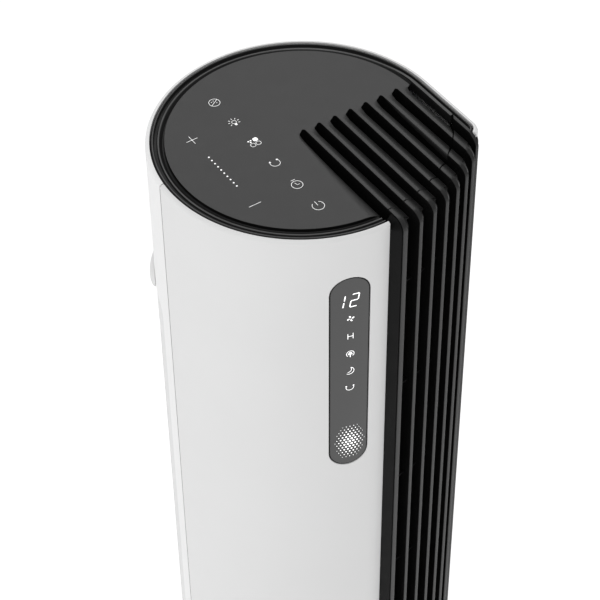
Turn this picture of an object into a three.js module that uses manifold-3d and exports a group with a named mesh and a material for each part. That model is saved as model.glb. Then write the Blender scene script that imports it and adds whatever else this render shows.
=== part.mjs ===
// A tower evaporative cooler: a slim round tower that swivels on a low round base.
// Units are millimetres, +Z is up, and the air leaves towards -Y. The origin is on the floor,
// on the axis that the tower swivels about. Plan angles are in degrees, anticlockwise from +X.
import * as THREE from "three";
import { mergeVertices } from "three/addons/utils/BufferGeometryUtils.js";
import Module from "manifold-3d";

const wasm = await Module();
wasm.setup();

// ---- Driving dimensions ----
const HEIGHT = 1000;
const SHELL_R = 124.2;
const SHELL_WALL = 3.6;
const SHELL_INNER_R = SHELL_R - SHELL_WALL;
const RIM_R = SHELL_INNER_R - 0.3; // dark rim around the touch panel
const FIT_GAP = 0.3; // clearance between pieces that touch
const SLIDE_GAP = 0.4; // clearance around pieces that come out
const SHEET = 2.5; // wall of the inner mouldings

// Heights of the main levels
const BASE_PLATE_BOTTOM = 4;
const BASE_PLATE_TOP = 7;
const BASE_TOP = 52;
const TOWER_BOTTOM = 56;
const FLOOR_TOP = 60;
const TANK_BAY_BOTTOM = 66;
const TANK_BAY_TOP = 262;
const DECK_BOTTOM = 264;
const DECK_TOP = 268;
const DOOR_BOTTOM = 280;
const DOOR_TOP = 850;
const PAD_BOTTOM = 302;
const PAD_TOP = 830;
const BLOWER_BOTTOM = 333;
const BLOWER_TOP = 922;
const BAFFLE_BOTTOM = 966;
const COVER_UNDERSIDE = 970;
const COVER_THICKNESS = 6;

// Outlet grille: its face is an arc about a centre of its own
const GRILLE_X = 7.2;
const GRILLE_Y = 14.4;
const GRILLE_FACE_R = 143.4;
const GRILLE_JOINT_R = 123.6; // where the top cover's fingers meet the grille's bars
const GRILLE_EDGE_R = 11; // rounding between the bars' tops and their fronts
const GRILLE_BOTTOM = TOWER_BOTTOM + FIT_GAP;
const GRILLE_BAND_TOP = 120;
const BAR_COUNT = 7;
const BAR_FIRST_X = 6.6;
const BAR_PITCH = 15.12;
const BAR_WIDTH = 7.6;
const BORDER_X = BAR_FIRST_X + BAR_COUNT * BAR_PITCH;
const RIB_TOP = 926; // highest of the grille's cross ribs
const RIB_PITCH = 118;
const RIB_COUNT = 7;
const PANEL_R = 108.6;
const SLOT_END_Y = 7.2;

// The straight right side of the tower ends in a rounded corner beside the grille
const CORNER_R = 12;
const CORNER_X = SHELL_R - CORNER_R;
const CORNER_Y = -62.4;
const CORNER_END_DEG = -50;

// Plan angles of the shells' edges and openings
const FRONT_EDGE_DEG = 269.1;
const SEAM_DEG = 174;
const DOOR_START_DEG = 14;
const DOOR_END_DEG = 166;
const TANK_START_DEG = 42;
const TANK_END_DEG = 138;
const PAD_START_DEG = 25;
const PAD_END_DEG = 155;
const PAD_INNER_R = 93;
const PAD_OUTER_R = 114;

// Display window in the front shell
const DISPLAY_DEG = -106.5;
const DISPLAY_TOP = 957.4;
const DISPLAY_BOTTOM = 738.4;
const DISPLAY_WIDTH = 33.4;

// Crossflow blower
const WHEEL_X = -6;
const WHEEL_Y = 6;
const WHEEL_R = 44;
const WHEEL_INNER_R = 35;
const WHEEL_BLADES = 12;
const SHAFT_R = 4;

// Swivel base and its gears
const BASE_R = 150;
const BASE_WALL = 3;
const BASE_HOLE_R = 45;
const HUB_INNER_R = 18;
const HUB_R = 28;
const GEAR_MODULE = 1.5;
const GEAR_TEETH = 48;
const PINION_TEETH = 16;
const GEAR_BOTTOM = 30;
const GEAR_TOP = 38;
const GEAR_DISTANCE = (GEAR_MODULE * (GEAR_TEETH + PINION_TEETH)) / 2;
const FOOT_R = 12;
const FOOT_SPACING_R = 100;
const SCREW_SPACING_R = 134;

// Water parts
const TANK_HALF_WIDTH = 84;
const TANK_FRONT_Y = -38;
const TANK_REAR_Y = 84;
const TANK_BOTTOM = 68;
const TANK_TOP = 250;
const SUMP_R = 104;
const SUMP_REAR_Y = -44;
const SUMP_TOP = 160;
const PUMP_X = -32;
const PUMP_Y = -70;
const HOSE_R = 5;
const HOSE_X = -88;
const HOSE_Y = -56;
const FLOAT_X = 34;
const FLOAT_PIVOT_Y = -56;
const FLOAT_PIVOT_Z = 140;
const FLOAT_REST_DEG = 25; // how far the arm hangs below level on its lower stop

// ---- Looks ----
const finish = (color, roughness, metalness = 0) => ({ color, roughness, metalness });
const WHITE = finish(0xe6e6e6, 0.35);
const DARK = finish(0x4e4e4f, 0.55);
const BLACK = finish(0x1b1b1c, 0.45);
const SMOKED = finish(0x565657, 0.2);
const GREY = finish(0x9a9a9c, 0.6);
const STEEL = finish(0xb4b6b8, 0.35, 1);
const ZINC = finish(0x8a8d90, 0.5, 1);
const RUBBER = finish(0x222222, 0.9);
const BOARD = finish(0x1f5a38, 0.5);
const CLEAR = finish(0xc9d4da, 0.25);
const FIBRE = finish(0x9b7b4c, 0.95);
const BRASS = finish(0xb08d57, 0.35, 1);

// ---- Geometry helpers ----
const radians = (degrees) => (degrees * Math.PI) / 180;
const degrees = (angle) => (angle * 180) / Math.PI;

function polar(r, angle, x = 0, y = 0) {
  return [x + r * Math.cos(radians(angle)), y + r * Math.sin(radians(angle))];
}

function arc(r, from, to, steps, x = 0, y = 0) {
  return Array.from({ length: steps + 1 }, (_, i) => polar(r, from + ((to - from) * i) / steps, x, y));
}

// A plan outline pulled up from one height to another
function prism(points, bottom, top) {
  const shape = new THREE.Shape(points.map(([x, y]) => new THREE.Vector2(x, y)));
  const settings = { depth: top - bottom, bevelEnabled: false };
  return new THREE.ExtrudeGeometry(shape, settings).translate(0, 0, bottom);
}

function box(x0, x1, y0, y1, z0, z1) {
  const middle = [(x0 + x1) / 2, (y0 + y1) / 2, (z0 + z1) / 2];
  return new THREE.BoxGeometry(x1 - x0, y1 - y0, z1 - z0).translate(...middle);
}

function cylinder(r, x, y, bottom, top, sides = 24) {
  const upright = new THREE.CylinderGeometry(r, r, top - bottom, sides).rotateX(Math.PI / 2);
  return upright.translate(x, y, (bottom + top) / 2);
}

// A [radius, height] profile, anticlockwise, turned about the upright line through x, y
function turned(profile, sides, x = 0, y = 0) {
  const points = profile.map(([r, z]) => new THREE.Vector2(r, z));
  return new THREE.LatheGeometry(points, sides).rotateX(Math.PI / 2).translate(x, y, 0);
}

function ring(inner, outer, bottom, top, sides, x = 0, y = 0) {
  const section = [[inner, bottom], [outer, bottom], [outer, top], [inner, top], [inner, bottom]];
  return turned(section, sides, x, y);
}

// Part of a ring between two plan angles
function curvedWall(inner, outer, from, to, bottom, top, steps, x = 0, y = 0) {
  const outline = [...arc(outer, from, to, steps, x, y), ...arc(inner, to, from, steps, x, y)];
  return prism(outline, bottom, top);
}

// A sheet of even thickness that follows a plan polyline
function sheetAlong(points, thickness, bottom, top) {
  const side = (sign) =>
    points.map(([x, y], i) => {
      const [ax, ay] = points[Math.max(i - 1, 0)];
      const [bx, by] = points[Math.min(i + 1, points.length - 1)];
      const length = Math.hypot(bx - ax, by - ay);
      const shift = (sign * thickness) / 2 / length;
      return [x - (by - ay) * shift, y + (bx - ax) * shift];
    });
  return prism([...side(1), ...side(-1).reverse()], bottom, top);
}

function solid(geometry) {
  const bare = geometry.clone();
  bare.deleteAttribute("normal");
  bare.deleteAttribute("uv");
  const merged = mergeVertices(bare, 1e-4);
  const vertProperties = merged.attributes.position.array;
  const triVerts = new Uint32Array(merged.index.array);
  return new wasm.Manifold(new wasm.Mesh({ numProp: 3, vertProperties, triVerts }));
}

function surface(made) {
  const mesh = made.getMesh();
  const positions = new THREE.BufferAttribute(new Float32Array(mesh.vertProperties), 3);
  const index = new THREE.BufferAttribute(new Uint32Array(mesh.triVerts), 1);
  return new THREE.BufferGeometry().setAttribute("position", positions).setIndex(index);
}

function join(...pieces) {
  return surface(pieces.map(solid).reduce((all, one) => all.add(one)));
}

function cut(body, ...tools) {
  return surface(tools.map(solid).reduce((left, tool) => left.subtract(tool), solid(body)));
}

function common(a, b) {
  return surface(solid(a).intersect(solid(b)));
}

function part(name, geometry, look) {
  const mesh = new THREE.Mesh(geometry, new THREE.MeshStandardMaterial(look));
  mesh.name = name;
  return mesh;
}

// The plan of what fits inside the shells and behind the grille, clockwise from the front
function interior(r, grilleR) {
  const offset = Math.hypot(GRILLE_X, GRILLE_Y);
  const swing = Math.asin((r * r + offset * offset - grilleR * grilleR) / (2 * r * offset));
  const meetDeg = degrees(swing - Math.atan2(GRILLE_X, GRILLE_Y));
  const [meetX, meetY] = polar(r, meetDeg);
  const fromDeg = degrees(Math.atan2(meetY - GRILLE_Y, meetX - GRILLE_X)) + 360;
  const edgeX = polar(r, FRONT_EDGE_DEG)[0] - FIT_GAP;
  const toDeg = 270 - degrees(Math.asin((GRILLE_X - edgeX) / grilleR));
  const round = arc(r, 270 - degrees(Math.asin(-edgeX / r)), meetDeg, 40);
  return [...round, ...arc(grilleR, fromDeg, toDeg, 8, GRILLE_X, GRILLE_Y)];
}

// ---- Swivel base ----
function baseShell() {
  const bottom = BASE_PLATE_TOP + FIT_GAP;
  const outer = [
    [BASE_R - BASE_WALL, bottom], [BASE_R, bottom], [BASE_R, 24], [BASE_R - 4, 33], [BASE_R - 12, 38.5],
    [108, 48], [98, BASE_TOP],
  ];
  const inner = [
    [BASE_HOLE_R, BASE_TOP], [BASE_HOLE_R, BASE_TOP - BASE_WALL], [98, BASE_TOP - BASE_WALL],
    [107, 44.6], [BASE_R - 13, 35.3], [BASE_R - BASE_WALL, 23], [BASE_R - BASE_WALL, bottom],
  ];
  const bosses = cornerPoints(SCREW_SPACING_R).map(([x, y]) => cylinder(5, x, y, bottom, 37, 8));
  const pilotHoles = cornerPoints(SCREW_SPACING_R).map(([x, y]) => cylinder(2, x, y, 0, 20, 6));
  const inletHole = box(-14.3, 14.3, BASE_R - 30, BASE_R + 5, 11.7, 27.3);
  return cut(join(turned([...outer, ...inner], 48), ...bosses), inletHole, ...pilotHoles);
}

function cornerPoints(r) {
  return [45, 135, 225, 315].map((angle) => polar(r, angle));
}

function basePlate() {
  const disc = cylinder(BASE_R - 3.4, 0, 0, BASE_PLATE_BOTTOM, BASE_PLATE_TOP, 40);
  const holes = cornerPoints(SCREW_SPACING_R).map(([x, y]) => cylinder(3.8, x, y, 0, 10, 8));
  return cut(disc, ...holes);
}

// A two-pin appliance inlet: a shallow socket that opens to the rear
function mainsInlet() {
  const body = box(-14, 14, BASE_R - 18, BASE_R - 2.2, 12, 27);
  const socket = box(-10.5, 10.5, BASE_R - 14, BASE_R, 15, 24);
  const pins = [-5, 5].map((x) => box(x - 1.2, x + 1.2, BASE_R - 15, BASE_R - 5, 18.3, 20.7));
  return join(cut(body, socket), ...pins);
}

function screw(x, y, bottom, headR, length) {
  const shankR = headR / 2;
  const headTop = bottom + headR / 2;
  const profile = [
    [0, bottom + 0.4], [headR * 0.4, bottom], [headR, bottom], [headR, bottom + 0.6],
    [shankR, headTop + 0.6], [shankR, bottom + length], [0, bottom + length + 0.6],
  ];
  return turned(profile, 8, x, y);
}

// Straight-sided teeth: each half-width is a share of the angle from tooth to tooth
const ROOT_SHARE = 0.29;
const TIP_SHARE = 0.11;

function spurGear(teeth, bore, turn, x, y) {
  const pitchR = (GEAR_MODULE * teeth) / 2;
  const rootR = pitchR - 1.25 * GEAR_MODULE;
  const tipR = pitchR + 0.8 * GEAR_MODULE;
  const step = 360 / teeth;
  const outline = [];
  for (let i = 0; i < teeth; i++) {
    const middle = turn + i * step;
    outline.push(polar(rootR, middle - step * ROOT_SHARE, x, y));
    outline.push(polar(tipR, middle - step * TIP_SHARE, x, y));
    outline.push(polar(tipR, middle + step * TIP_SHARE, x, y));
    outline.push(polar(rootR, middle + step * ROOT_SHARE, x, y));
  }
  return cut(prism(outline, GEAR_BOTTOM, GEAR_TOP), cylinder(bore, x, y, 0, HEIGHT, 24));
}

function oscillationMotor() {
  const profile = [[0, 10], [25, 10], [25, 27], [3, 27], [3, 39], [0, 39]];
  return turned(profile, 20, 0, GEAR_DISTANCE);
}

function swivelBase() {
  const base = new THREE.Group();
  const bottom = BASE_PLATE_TOP + FIT_GAP;
  base.add(part("base_shell", baseShell(), WHITE));
  base.add(part("base_plate", basePlate(), BLACK));
  base.add(part("base_ballast", ring(80, 126, bottom, bottom + 12, 24), ZINC));
  base.add(part("turntable_race", ring(70, 84, BASE_TOP + FIT_GAP, TOWER_BOTTOM - FIT_GAP, 24), GREY));
  base.add(part("oscillation_motor", oscillationMotor(), STEEL));
  base.add(part("mains_inlet", mainsInlet(), BLACK));
  cornerPoints(FOOT_SPACING_R).forEach(([x, y], i) => {
    const foot = cylinder(FOOT_R, x, y, 0, BASE_PLATE_BOTTOM - FIT_GAP, 16);
    base.add(part(`rubber_foot_${i + 1}`, foot, RUBBER));
  });
  cornerPoints(SCREW_SPACING_R).forEach(([x, y], i) => {
    base.add(part(`base_screw_${i + 1}`, screw(x, y, BASE_PLATE_BOTTOM + 0.2, 3.4, 9), STEEL));
  });
  const halfTooth = 180 / PINION_TEETH;
  const pinion = spurGear(PINION_TEETH, 3.3, halfTooth, 0, GEAR_DISTANCE);
  base.add(part("oscillation_pinion", pinion, GREY));
  return base;
}

// ---- Tower casing ----
function towerFloor() {
  const hub = ring(HUB_INNER_R, HUB_R, GEAR_BOTTOM - 2, FLOOR_TOP, 24);
  const floor = prism(interior(RIM_R, GRILLE_JOINT_R), TOWER_BOTTOM, FLOOR_TOP);
  const tankRails = [-60, 60].map((x) => box(x - 4, x + 4, -34, 84, FLOOR_TOP - 1, TANK_BOTTOM - FIT_GAP));
  return join(cut(floor, cylinder(HUB_INNER_R, 0, 0, 0, HEIGHT, 24)), hub, ...tankRails);
}

// An upright stadium outline, pushed outwards through the shell at the display's plan angle
function displayStadium(width, top, bottom) {
  const r = width / 2;
  const shape = new THREE.Shape();
  shape.absarc(0, top - r, r, 0, Math.PI, false);
  shape.absarc(0, bottom + r, r, Math.PI, 2 * Math.PI, false);
  const settings = { depth: 30, bevelEnabled: false, curveSegments: 7 };
  const slab = new THREE.ExtrudeGeometry(shape, settings).rotateX(Math.PI / 2);
  return slab.translate(0, -SHELL_R + 15, 0).rotateZ(radians(DISPLAY_DEG + 90));
}

function frontShell() {
  const steps = 20;
  const from = SEAM_DEG + 0.1;
  const wall = curvedWall(SHELL_INNER_R, SHELL_R, from, FRONT_EDGE_DEG, TOWER_BOTTOM, HEIGHT, steps);
  return cut(wall, displayStadium(DISPLAY_WIDTH, DISPLAY_TOP, DISPLAY_BOTTOM));
}

function displayWindow() {
  const from = DISPLAY_DEG - 12;
  const to = DISPLAY_DEG + 12;
  const wall = curvedWall(SHELL_INNER_R + 0.4, SHELL_R - 0.4, from, to, 730, 970, 8);
  const width = DISPLAY_WIDTH - 2 * FIT_GAP;
  return common(wall, displayStadium(width, DISPLAY_TOP - FIT_GAP, DISPLAY_BOTTOM + FIT_GAP));
}

function rearShell() {
  const outline = [
    ...arc(CORNER_R, CORNER_END_DEG, 0, 4, CORNER_X, CORNER_Y),
    ...arc(SHELL_R, 0, SEAM_DEG - 0.1, 36),
    ...arc(SHELL_INNER_R, SEAM_DEG - 0.1, 0, 36),
    ...arc(CORNER_R - SHELL_WALL, 0, CORNER_END_DEG, 4, CORNER_X, CORNER_Y),
  ];
  const wall = prism(outline, TOWER_BOTTOM, HEIGHT);
  const doorway = curvedWall(100, 140, DOOR_START_DEG, DOOR_END_DEG, DOOR_BOTTOM, DOOR_TOP, 8);
  const tankBay = curvedWall(100, 140, TANK_START_DEG, TANK_END_DEG, TANK_BAY_BOTTOM, TANK_BAY_TOP, 6);
  return cut(wall, doorway, tankBay);
}

// The round-topped volume that the grille's face is cut from
function grilleEnvelope() {
  const round = arc(GRILLE_EDGE_R, 0, 90, 4, GRILLE_FACE_R - GRILLE_EDGE_R, HEIGHT - GRILLE_EDGE_R);
  const inner = GRILLE_JOINT_R + FIT_GAP;
  const start = [inner, GRILLE_BOTTOM];
  const profile = [start, [GRILLE_FACE_R, GRILLE_BOTTOM], ...round, [inner, HEIGHT], start];
  return turned(profile, 90, GRILLE_X, GRILLE_Y);
}

const barX = (i) => BAR_FIRST_X + i * BAR_PITCH;

function frontGrille() {
  const slab = (x0, x1) => box(x0, x1, -140, -40, 0, HEIGHT + 10);
  const bars = Array.from({ length: BAR_COUNT }, (_, i) => slab(barX(i), barX(i) + BAR_WIDTH));
  const edgeX = polar(SHELL_R, FRONT_EDGE_DEG)[0] + FIT_GAP;
  const leftEnd = BAR_FIRST_X + 1;
  const leftPlan = [[edgeX, -100], [edgeX, -125.4], [leftEnd, -129.4], [leftEnd, -100]];
  const rightPlan = [
    [BORDER_X, -100], [119.9, -100], [119.9, -73.2], [116.8, -69.6], [115.6, -58], [115.6, -40],
    [BORDER_X, -40],
  ];
  const borders = [leftPlan, rightPlan].map((plan) => prism(plan, 0, HEIGHT + 10));
  const ribs = Array.from({ length: RIB_COUNT }, (_, i) => {
    const z = RIB_TOP - i * RIB_PITCH;
    return curvedWall(125, 136, 267.5, 324.5, z - 1, z + 1, 7, GRILLE_X, GRILLE_Y);
  });
  const band = curvedWall(138, GRILLE_FACE_R + 1, 267.5, 321, 0, GRILLE_BAND_TOP, 10, GRILLE_X, GRILLE_Y);
  return common(join(...borders, band, ...bars, ...ribs), grilleEnvelope());
}

function topCover() {
  const under = HEIGHT - COVER_THICKNESS;
  const disc = cylinder(PANEL_R, 0, 0, under, HEIGHT, 60);
  const slots = Array.from({ length: BAR_COUNT + 1 }, (_, i) => {
    const right = barX(i);
    const left = i === 0 ? 0 : barX(i - 1) + BAR_WIDTH;
    return prism([[left, 0], [left, -140], [right, -140], [right, SLOT_END_Y]], under - 1, HEIGHT + 1);
  });
  const blades = Array.from({ length: BAR_COUNT }, (_, i) =>
    box(barX(i), barX(i) + BAR_WIDTH, -140, SLOT_END_Y, COVER_UNDERSIDE, HEIGHT),
  );
  const sideWall = box(-3, 0, -107, 2, COVER_UNDERSIDE, HEIGHT);
  const reach = cylinder(GRILLE_JOINT_R, GRILLE_X, GRILLE_Y, 900, 1100, 90);
  return common(join(cut(disc, ...slots), sideWall, ...blades), reach);
}

// The channel around the touch panel; on the right it runs on forwards as the grille's border
function topRim() {
  const start = [PANEL_R + FIT_GAP, HEIGHT - 9];
  const profile = [
    start, [RIM_R, HEIGHT - 9], [RIM_R, HEIGHT], [RIM_R - 2.4, HEIGHT], [RIM_R - 3, HEIGHT - 4],
    [PANEL_R + FIT_GAP, HEIGHT - 4], start,
  ];
  const wedge = prism([[0, 0], ...arc(200, 3, FRONT_EDGE_DEG - 0.2, 8)], 900, 1100);
  const border = box(BORDER_X, RIM_R - 3.2, -60, 9, COVER_UNDERSIDE, HEIGHT);
  const edge = box(RIM_R - 3.4, RIM_R, CORNER_Y + 14, 0, COVER_UNDERSIDE + 20, HEIGHT);
  const reach = cylinder(GRILLE_JOINT_R, GRILLE_X, GRILLE_Y, 900, 1100, 90);
  return join(common(turned(profile, 60), wedge), common(join(border, edge), reach));
}

// A thin black wall behind the grille, which hides the sump and the motor
function lowerLiner() {
  return curvedWall(119.8, 121.8, 265.9, 316, FLOOR_TOP + FIT_GAP, BLOWER_BOTTOM - 4, 8, GRILLE_X, GRILLE_Y);
}

// A black floor under the top cover's slots
function topBaffle() {
  const plan = interior(RIM_R - 4, GRILLE_JOINT_R - 2);
  return common(prism(plan, BAFFLE_BOTTOM, BAFFLE_BOTTOM + 3), box(-5, 130, -140, 12, 0, HEIGHT));
}

// A flat upright board across a plan angle
function board(width, thickness, r, angle, bottom, top) {
  const flat = box(-width / 2, width / 2, -r - thickness / 2, -r + thickness / 2, bottom, top);
  return flat.rotateZ(radians(angle + 90));
}

function casing() {
  const tower = new THREE.Group();
  const underCover = HEIGHT - COVER_THICKNESS - 8;
  tower.add(part("tower_floor", towerFloor(), GREY));
  tower.add(part("oscillation_gear", spurGear(GEAR_TEETH, HUB_R + FIT_GAP, 0, 0, 0), GREY));
  const underWeb = BASE_TOP - BASE_WALL - FIT_GAP;
  tower.add(part("hub_retainer", ring(HUB_R + FIT_GAP, 60, underWeb - 4, underWeb, 24), STEEL));
  tower.add(part("front_shell", frontShell(), WHITE));
  tower.add(part("rear_shell", rearShell(), WHITE));
  tower.add(part("front_grille", frontGrille(), BLACK));
  tower.add(part("top_cover", topCover(), DARK));
  tower.add(part("top_rim", topRim(), BLACK));
  tower.add(part("lower_liner", lowerLiner(), BLACK));
  tower.add(part("top_baffle", topBaffle(), BLACK));
  tower.add(part("display_window", displayWindow(), SMOKED));
  tower.add(part("display_board", board(28, 1.6, 115, DISPLAY_DEG, 745, 950), BOARD));
  tower.add(part("touch_board", box(-84, -8, -52, 52, underCover, underCover + 1.6), BOARD));
  tower.add(part("control_board", box(-84, -24, -20, 50, 938, 939.6), BOARD));
  tower.add(part("ioniser_module", box(48, 92, 18, 40, BLOWER_TOP + 4 + FIT_GAP, 946), BLACK));
  return tower;
}

// ---- Blower ----
function blowerWheel() {
  const bottom = BLOWER_BOTTOM + 7;
  const top = BLOWER_TOP - 4;
  const plate = (z) => ring(SHAFT_R + FIT_GAP, WHEEL_R, z, z + 3, 18, WHEEL_X, WHEEL_Y);
  const hoop = (z) => ring(WHEEL_INNER_R, WHEEL_R, z, z + 2, 18, WHEEL_X, WHEEL_Y);
  const hoops = [1, 2].map((i) => hoop(bottom + ((top - bottom) * i) / 3));
  const blades = Array.from({ length: WHEEL_BLADES }, (_, i) => {
    const angle = (360 / WHEEL_BLADES) * i;
    const root = polar(WHEEL_INNER_R + 1, angle, WHEEL_X, WHEEL_Y);
    const tip = polar(WHEEL_R - 1.6, angle + 8, WHEEL_X, WHEEL_Y);
    return sheetAlong([root, tip], 1.6, bottom + 1, top - 1);
  });
  return join(plate(bottom), plate(top - 3), ...hoops, ...blades);
}

function blowerMotor() {
  const profile = [
    [0, 268.6], [38, 268.6], [38, 276.6], [52, 276.6], [52, 279.6], [38, 279.6], [38, 316], [12, 318],
    [12, 322.4], [0, 322.4],
  ];
  return turned(profile, 20, WHEEL_X, WHEEL_Y);
}

function plateWithHoles(bottom, top, shaftHoleR) {
  const plan = prism(interior(RIM_R - FIT_GAP, GRILLE_JOINT_R - 4.2), bottom, top);
  const hoseHole = cylinder(HOSE_R + 2, HOSE_X, HOSE_Y, 0, HEIGHT, 12);
  const shaftHole = cylinder(shaftHoleR, WHEEL_X, WHEEL_Y, 0, HEIGHT, 12);
  return cut(plan, hoseHole, shaftHole);
}

function blowerBasePlate() {
  const padRoom = curvedWall(PAD_INNER_R - 4, 140, PAD_START_DEG - 4, PAD_END_DEG + 4, 0, HEIGHT, 14);
  return cut(plateWithHoles(BLOWER_BOTTOM - 3, BLOWER_BOTTOM, SHAFT_R + 4), padRoom);
}

// The spiral wall that turns the air forwards, ending at the left side of the outlet
function blowerScroll() {
  const spiral = Array.from({ length: 13 }, (_, i) => polar(48 + i * 1.1, 95 + i * 13, WHEEL_X, WHEEL_Y));
  return sheetAlong([...spiral, [3.5, -104]], SHEET, BLOWER_BOTTOM + FIT_GAP, BLOWER_TOP - FIT_GAP);
}

// The wall that splits the intake from the outlet, close to the wheel
function blowerTongue() {
  const plan = [[62, 34], [43, 21], [44, 10], [52, -2], [76, -27], [104, -55]];
  return sheetAlong(plan, SHEET, BLOWER_BOTTOM + FIT_GAP, BLOWER_TOP - FIT_GAP);
}

function blowerTopPlate() {
  const boardNotch = board(32, 16, 119, DISPLAY_DEG, 0, HEIGHT);
  return cut(plateWithHoles(BLOWER_TOP, BLOWER_TOP + 4, 6), boardNotch);
}

function blower() {
  const unit = new THREE.Group();
  const shaft = cylinder(SHAFT_R, WHEEL_X, WHEEL_Y, 322.8, 936, 12);
  unit.add(part("motor_deck", plateWithHoles(DECK_BOTTOM, DECK_TOP, 10), GREY));
  unit.add(part("blower_base_plate", blowerBasePlate(), BLACK));
  unit.add(part("blower_top_plate", blowerTopPlate(), BLACK));
  unit.add(part("blower_scroll", blowerScroll(), BLACK));
  unit.add(part("blower_tongue", blowerTongue(), BLACK));
  unit.add(part("blower_motor", blowerMotor(), ZINC));
  [30, 150, 270].forEach((angle, i) => {
    const [x, y] = polar(45, angle, WHEEL_X, WHEEL_Y);
    unit.add(part(`motor_bush_${i + 1}`, ring(2.4, 6, DECK_TOP + FIT_GAP, 276.3, 12, x, y), RUBBER));
  });
  const bearingBottom = BLOWER_TOP + 4 + FIT_GAP;
  const bearing = ring(SHAFT_R + 0.1, 11, bearingBottom, bearingBottom + 7, 16, WHEEL_X, WHEEL_Y);
  unit.add(part("upper_bearing", bearing, BRASS));
  unit.add(part("blower_shaft", shaft, STEEL));
  unit.add(part("blower_wheel", blowerWheel(), BLACK));
  return unit;
}

// ---- Water circuit ----
// A curved trough that follows the pad
function trough(bottom, top) {
  const outer = curvedWall(PAD_INNER_R - 4, 118, PAD_START_DEG - 3, PAD_END_DEG + 3, bottom, top, 14);
  const [from, to] = [PAD_START_DEG - 2, PAD_END_DEG + 2];
  const hollow = curvedWall(PAD_INNER_R - 2, 116, from, to, bottom + 2, top + 1, 14);
  return cut(outer, hollow);
}

function sumpTray() {
  const plan = (r, side, rear) => [...arc(r, 238, 302, 8), [side, rear], [-side, rear]];
  const outer = prism(plan(SUMP_R, 66, SUMP_REAR_Y), FLOOR_TOP + 2, SUMP_TOP);
  const innerPlan = plan(SUMP_R - SHEET, 66 - SHEET, SUMP_REAR_Y - SHEET);
  const hollow = prism(innerPlan, FLOOR_TOP + 2 + SHEET, SUMP_TOP + 1);
  return cut(outer, hollow);
}

function pumpBody() {
  const profile = [[0, 78], [22, 78], [22, 110], [18, 115], [5, 117], [5, 128], [0, 128]];
  return turned(profile, 16, PUMP_X, PUMP_Y);
}

function pumpImpeller() {
  const hub = cylinder(4, PUMP_X, PUMP_Y, 68, 77.6, 12);
  const disc = cylinder(14, PUMP_X, PUMP_Y, 68, 70, 16);
  const vanes = [0, 60, 120].map((angle) => {
    const ends = [polar(13.5, angle, PUMP_X, PUMP_Y), polar(13.5, angle + 180, PUMP_X, PUMP_Y)];
    return sheetAlong(ends, 1.6, 69, 75);
  });
  return join(hub, disc, ...vanes);
}

// The hose rises beside the blower and turns over into the tray above the pad
function riserHose() {
  const route = [
    [PUMP_X, PUMP_Y, 128.3], [PUMP_X, PUMP_Y, 150], [-56, -68, 182], [-82, -59, 215], [HOSE_X, HOSE_Y, 262],
    [HOSE_X, HOSE_Y, 400], [HOSE_X, HOSE_Y, 600], [HOSE_X, HOSE_Y, 800], [-92, -46, 862], [-101, -18, 888],
    [-103, 14, 887], [-100, 36, 884], [-96, 48, 868], [-95, 50, 846],
  ];
  const path = new THREE.CatmullRomCurve3(route.map((p) => new THREE.Vector3(...p)), false, "centripetal");
  const section = new THREE.Shape(arc(HOSE_R, 0, 315, 7).map(([x, y]) => new THREE.Vector2(x, y)));
  return new THREE.ExtrudeGeometry(section, { steps: 32, extrudePath: path, bevelEnabled: false });
}

function aboutFloatPivot(geometry) {
  geometry.translate(0, -FLOAT_PIVOT_Y, -FLOAT_PIVOT_Z).rotateX(radians(FLOAT_REST_DEG));
  return geometry.translate(0, FLOAT_PIVOT_Y, FLOAT_PIVOT_Z);
}

function crossPin(r, x0, x1, y, z, sides) {
  return new THREE.CylinderGeometry(r, r, x1 - x0, sides).rotateZ(Math.PI / 2).translate((x0 + x1) / 2, y, z);
}

function floatArm() {
  const x = FLOAT_X;
  const eye = crossPin(4, x - 2, x + 2, FLOAT_PIVOT_Y, FLOAT_PIVOT_Z, 16);
  const [y, z] = [FLOAT_PIVOT_Y, FLOAT_PIVOT_Z];
  const arm = box(x - 2, x + 2, y - 18, y - 2, z - 1.5, z + 1.5);
  const bulb = cylinder(10, x, y - 26, z - 9, z + 9, 20);
  const bore = crossPin(1.9, x - 5, x + 5, y, z, 12);
  return aboutFloatPivot(cut(join(eye, arm, bulb), bore));
}

function floatBracket() {
  const x = FLOAT_X;
  const back = box(x - 6, x + 6, -49.2, SUMP_REAR_Y - SHEET - FIT_GAP, 132, 148);
  const cheeks = [-1, 1].map((side) => box(x + side * 4.3 - 1.5, x + side * 4.3 + 1.5, -61, -48, 134, 146));
  const bore = crossPin(1.9, x - 10, x + 10, FLOAT_PIVOT_Y, FLOAT_PIVOT_Z, 12);
  return cut(join(back, ...cheeks), bore);
}

function waterTank() {
  const outer = box(-TANK_HALF_WIDTH, TANK_HALF_WIDTH, TANK_FRONT_Y, TANK_REAR_Y, TANK_BOTTOM, TANK_TOP);
  const inside = TANK_HALF_WIDTH - SHEET;
  const rearInside = TANK_REAR_Y - SHEET;
  const hollow = box(-inside, inside, TANK_FRONT_Y + SHEET, rearInside, TANK_BOTTOM + SHEET, TANK_TOP + 1);
  return cut(outer, hollow);
}

// The tank's curved face, with a finger slot and a slot for the level window
function tankFront() {
  const face = curvedWall(
    SHELL_INNER_R, SHELL_R - 0.2, TANK_START_DEG + 0.2, TANK_END_DEG - 0.2,
    TANK_BAY_BOTTOM + SLIDE_GAP, TANK_BAY_TOP - SLIDE_GAP, 18,
  );
  const webs = [-60, 60].map((x) => box(x - 1.5, x + 1.5, TANK_REAR_Y + FIT_GAP, 107, TANK_BOTTOM, TANK_TOP));
  const fingerSlot = box(-45, 45, 110, 130, 214, 240);
  const windowSlot = curvedWall(110, 130, 57.6, 62.4, 89.6, 200.4, 2);
  return cut(join(face, ...webs), fingerSlot, windowSlot);
}

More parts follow.
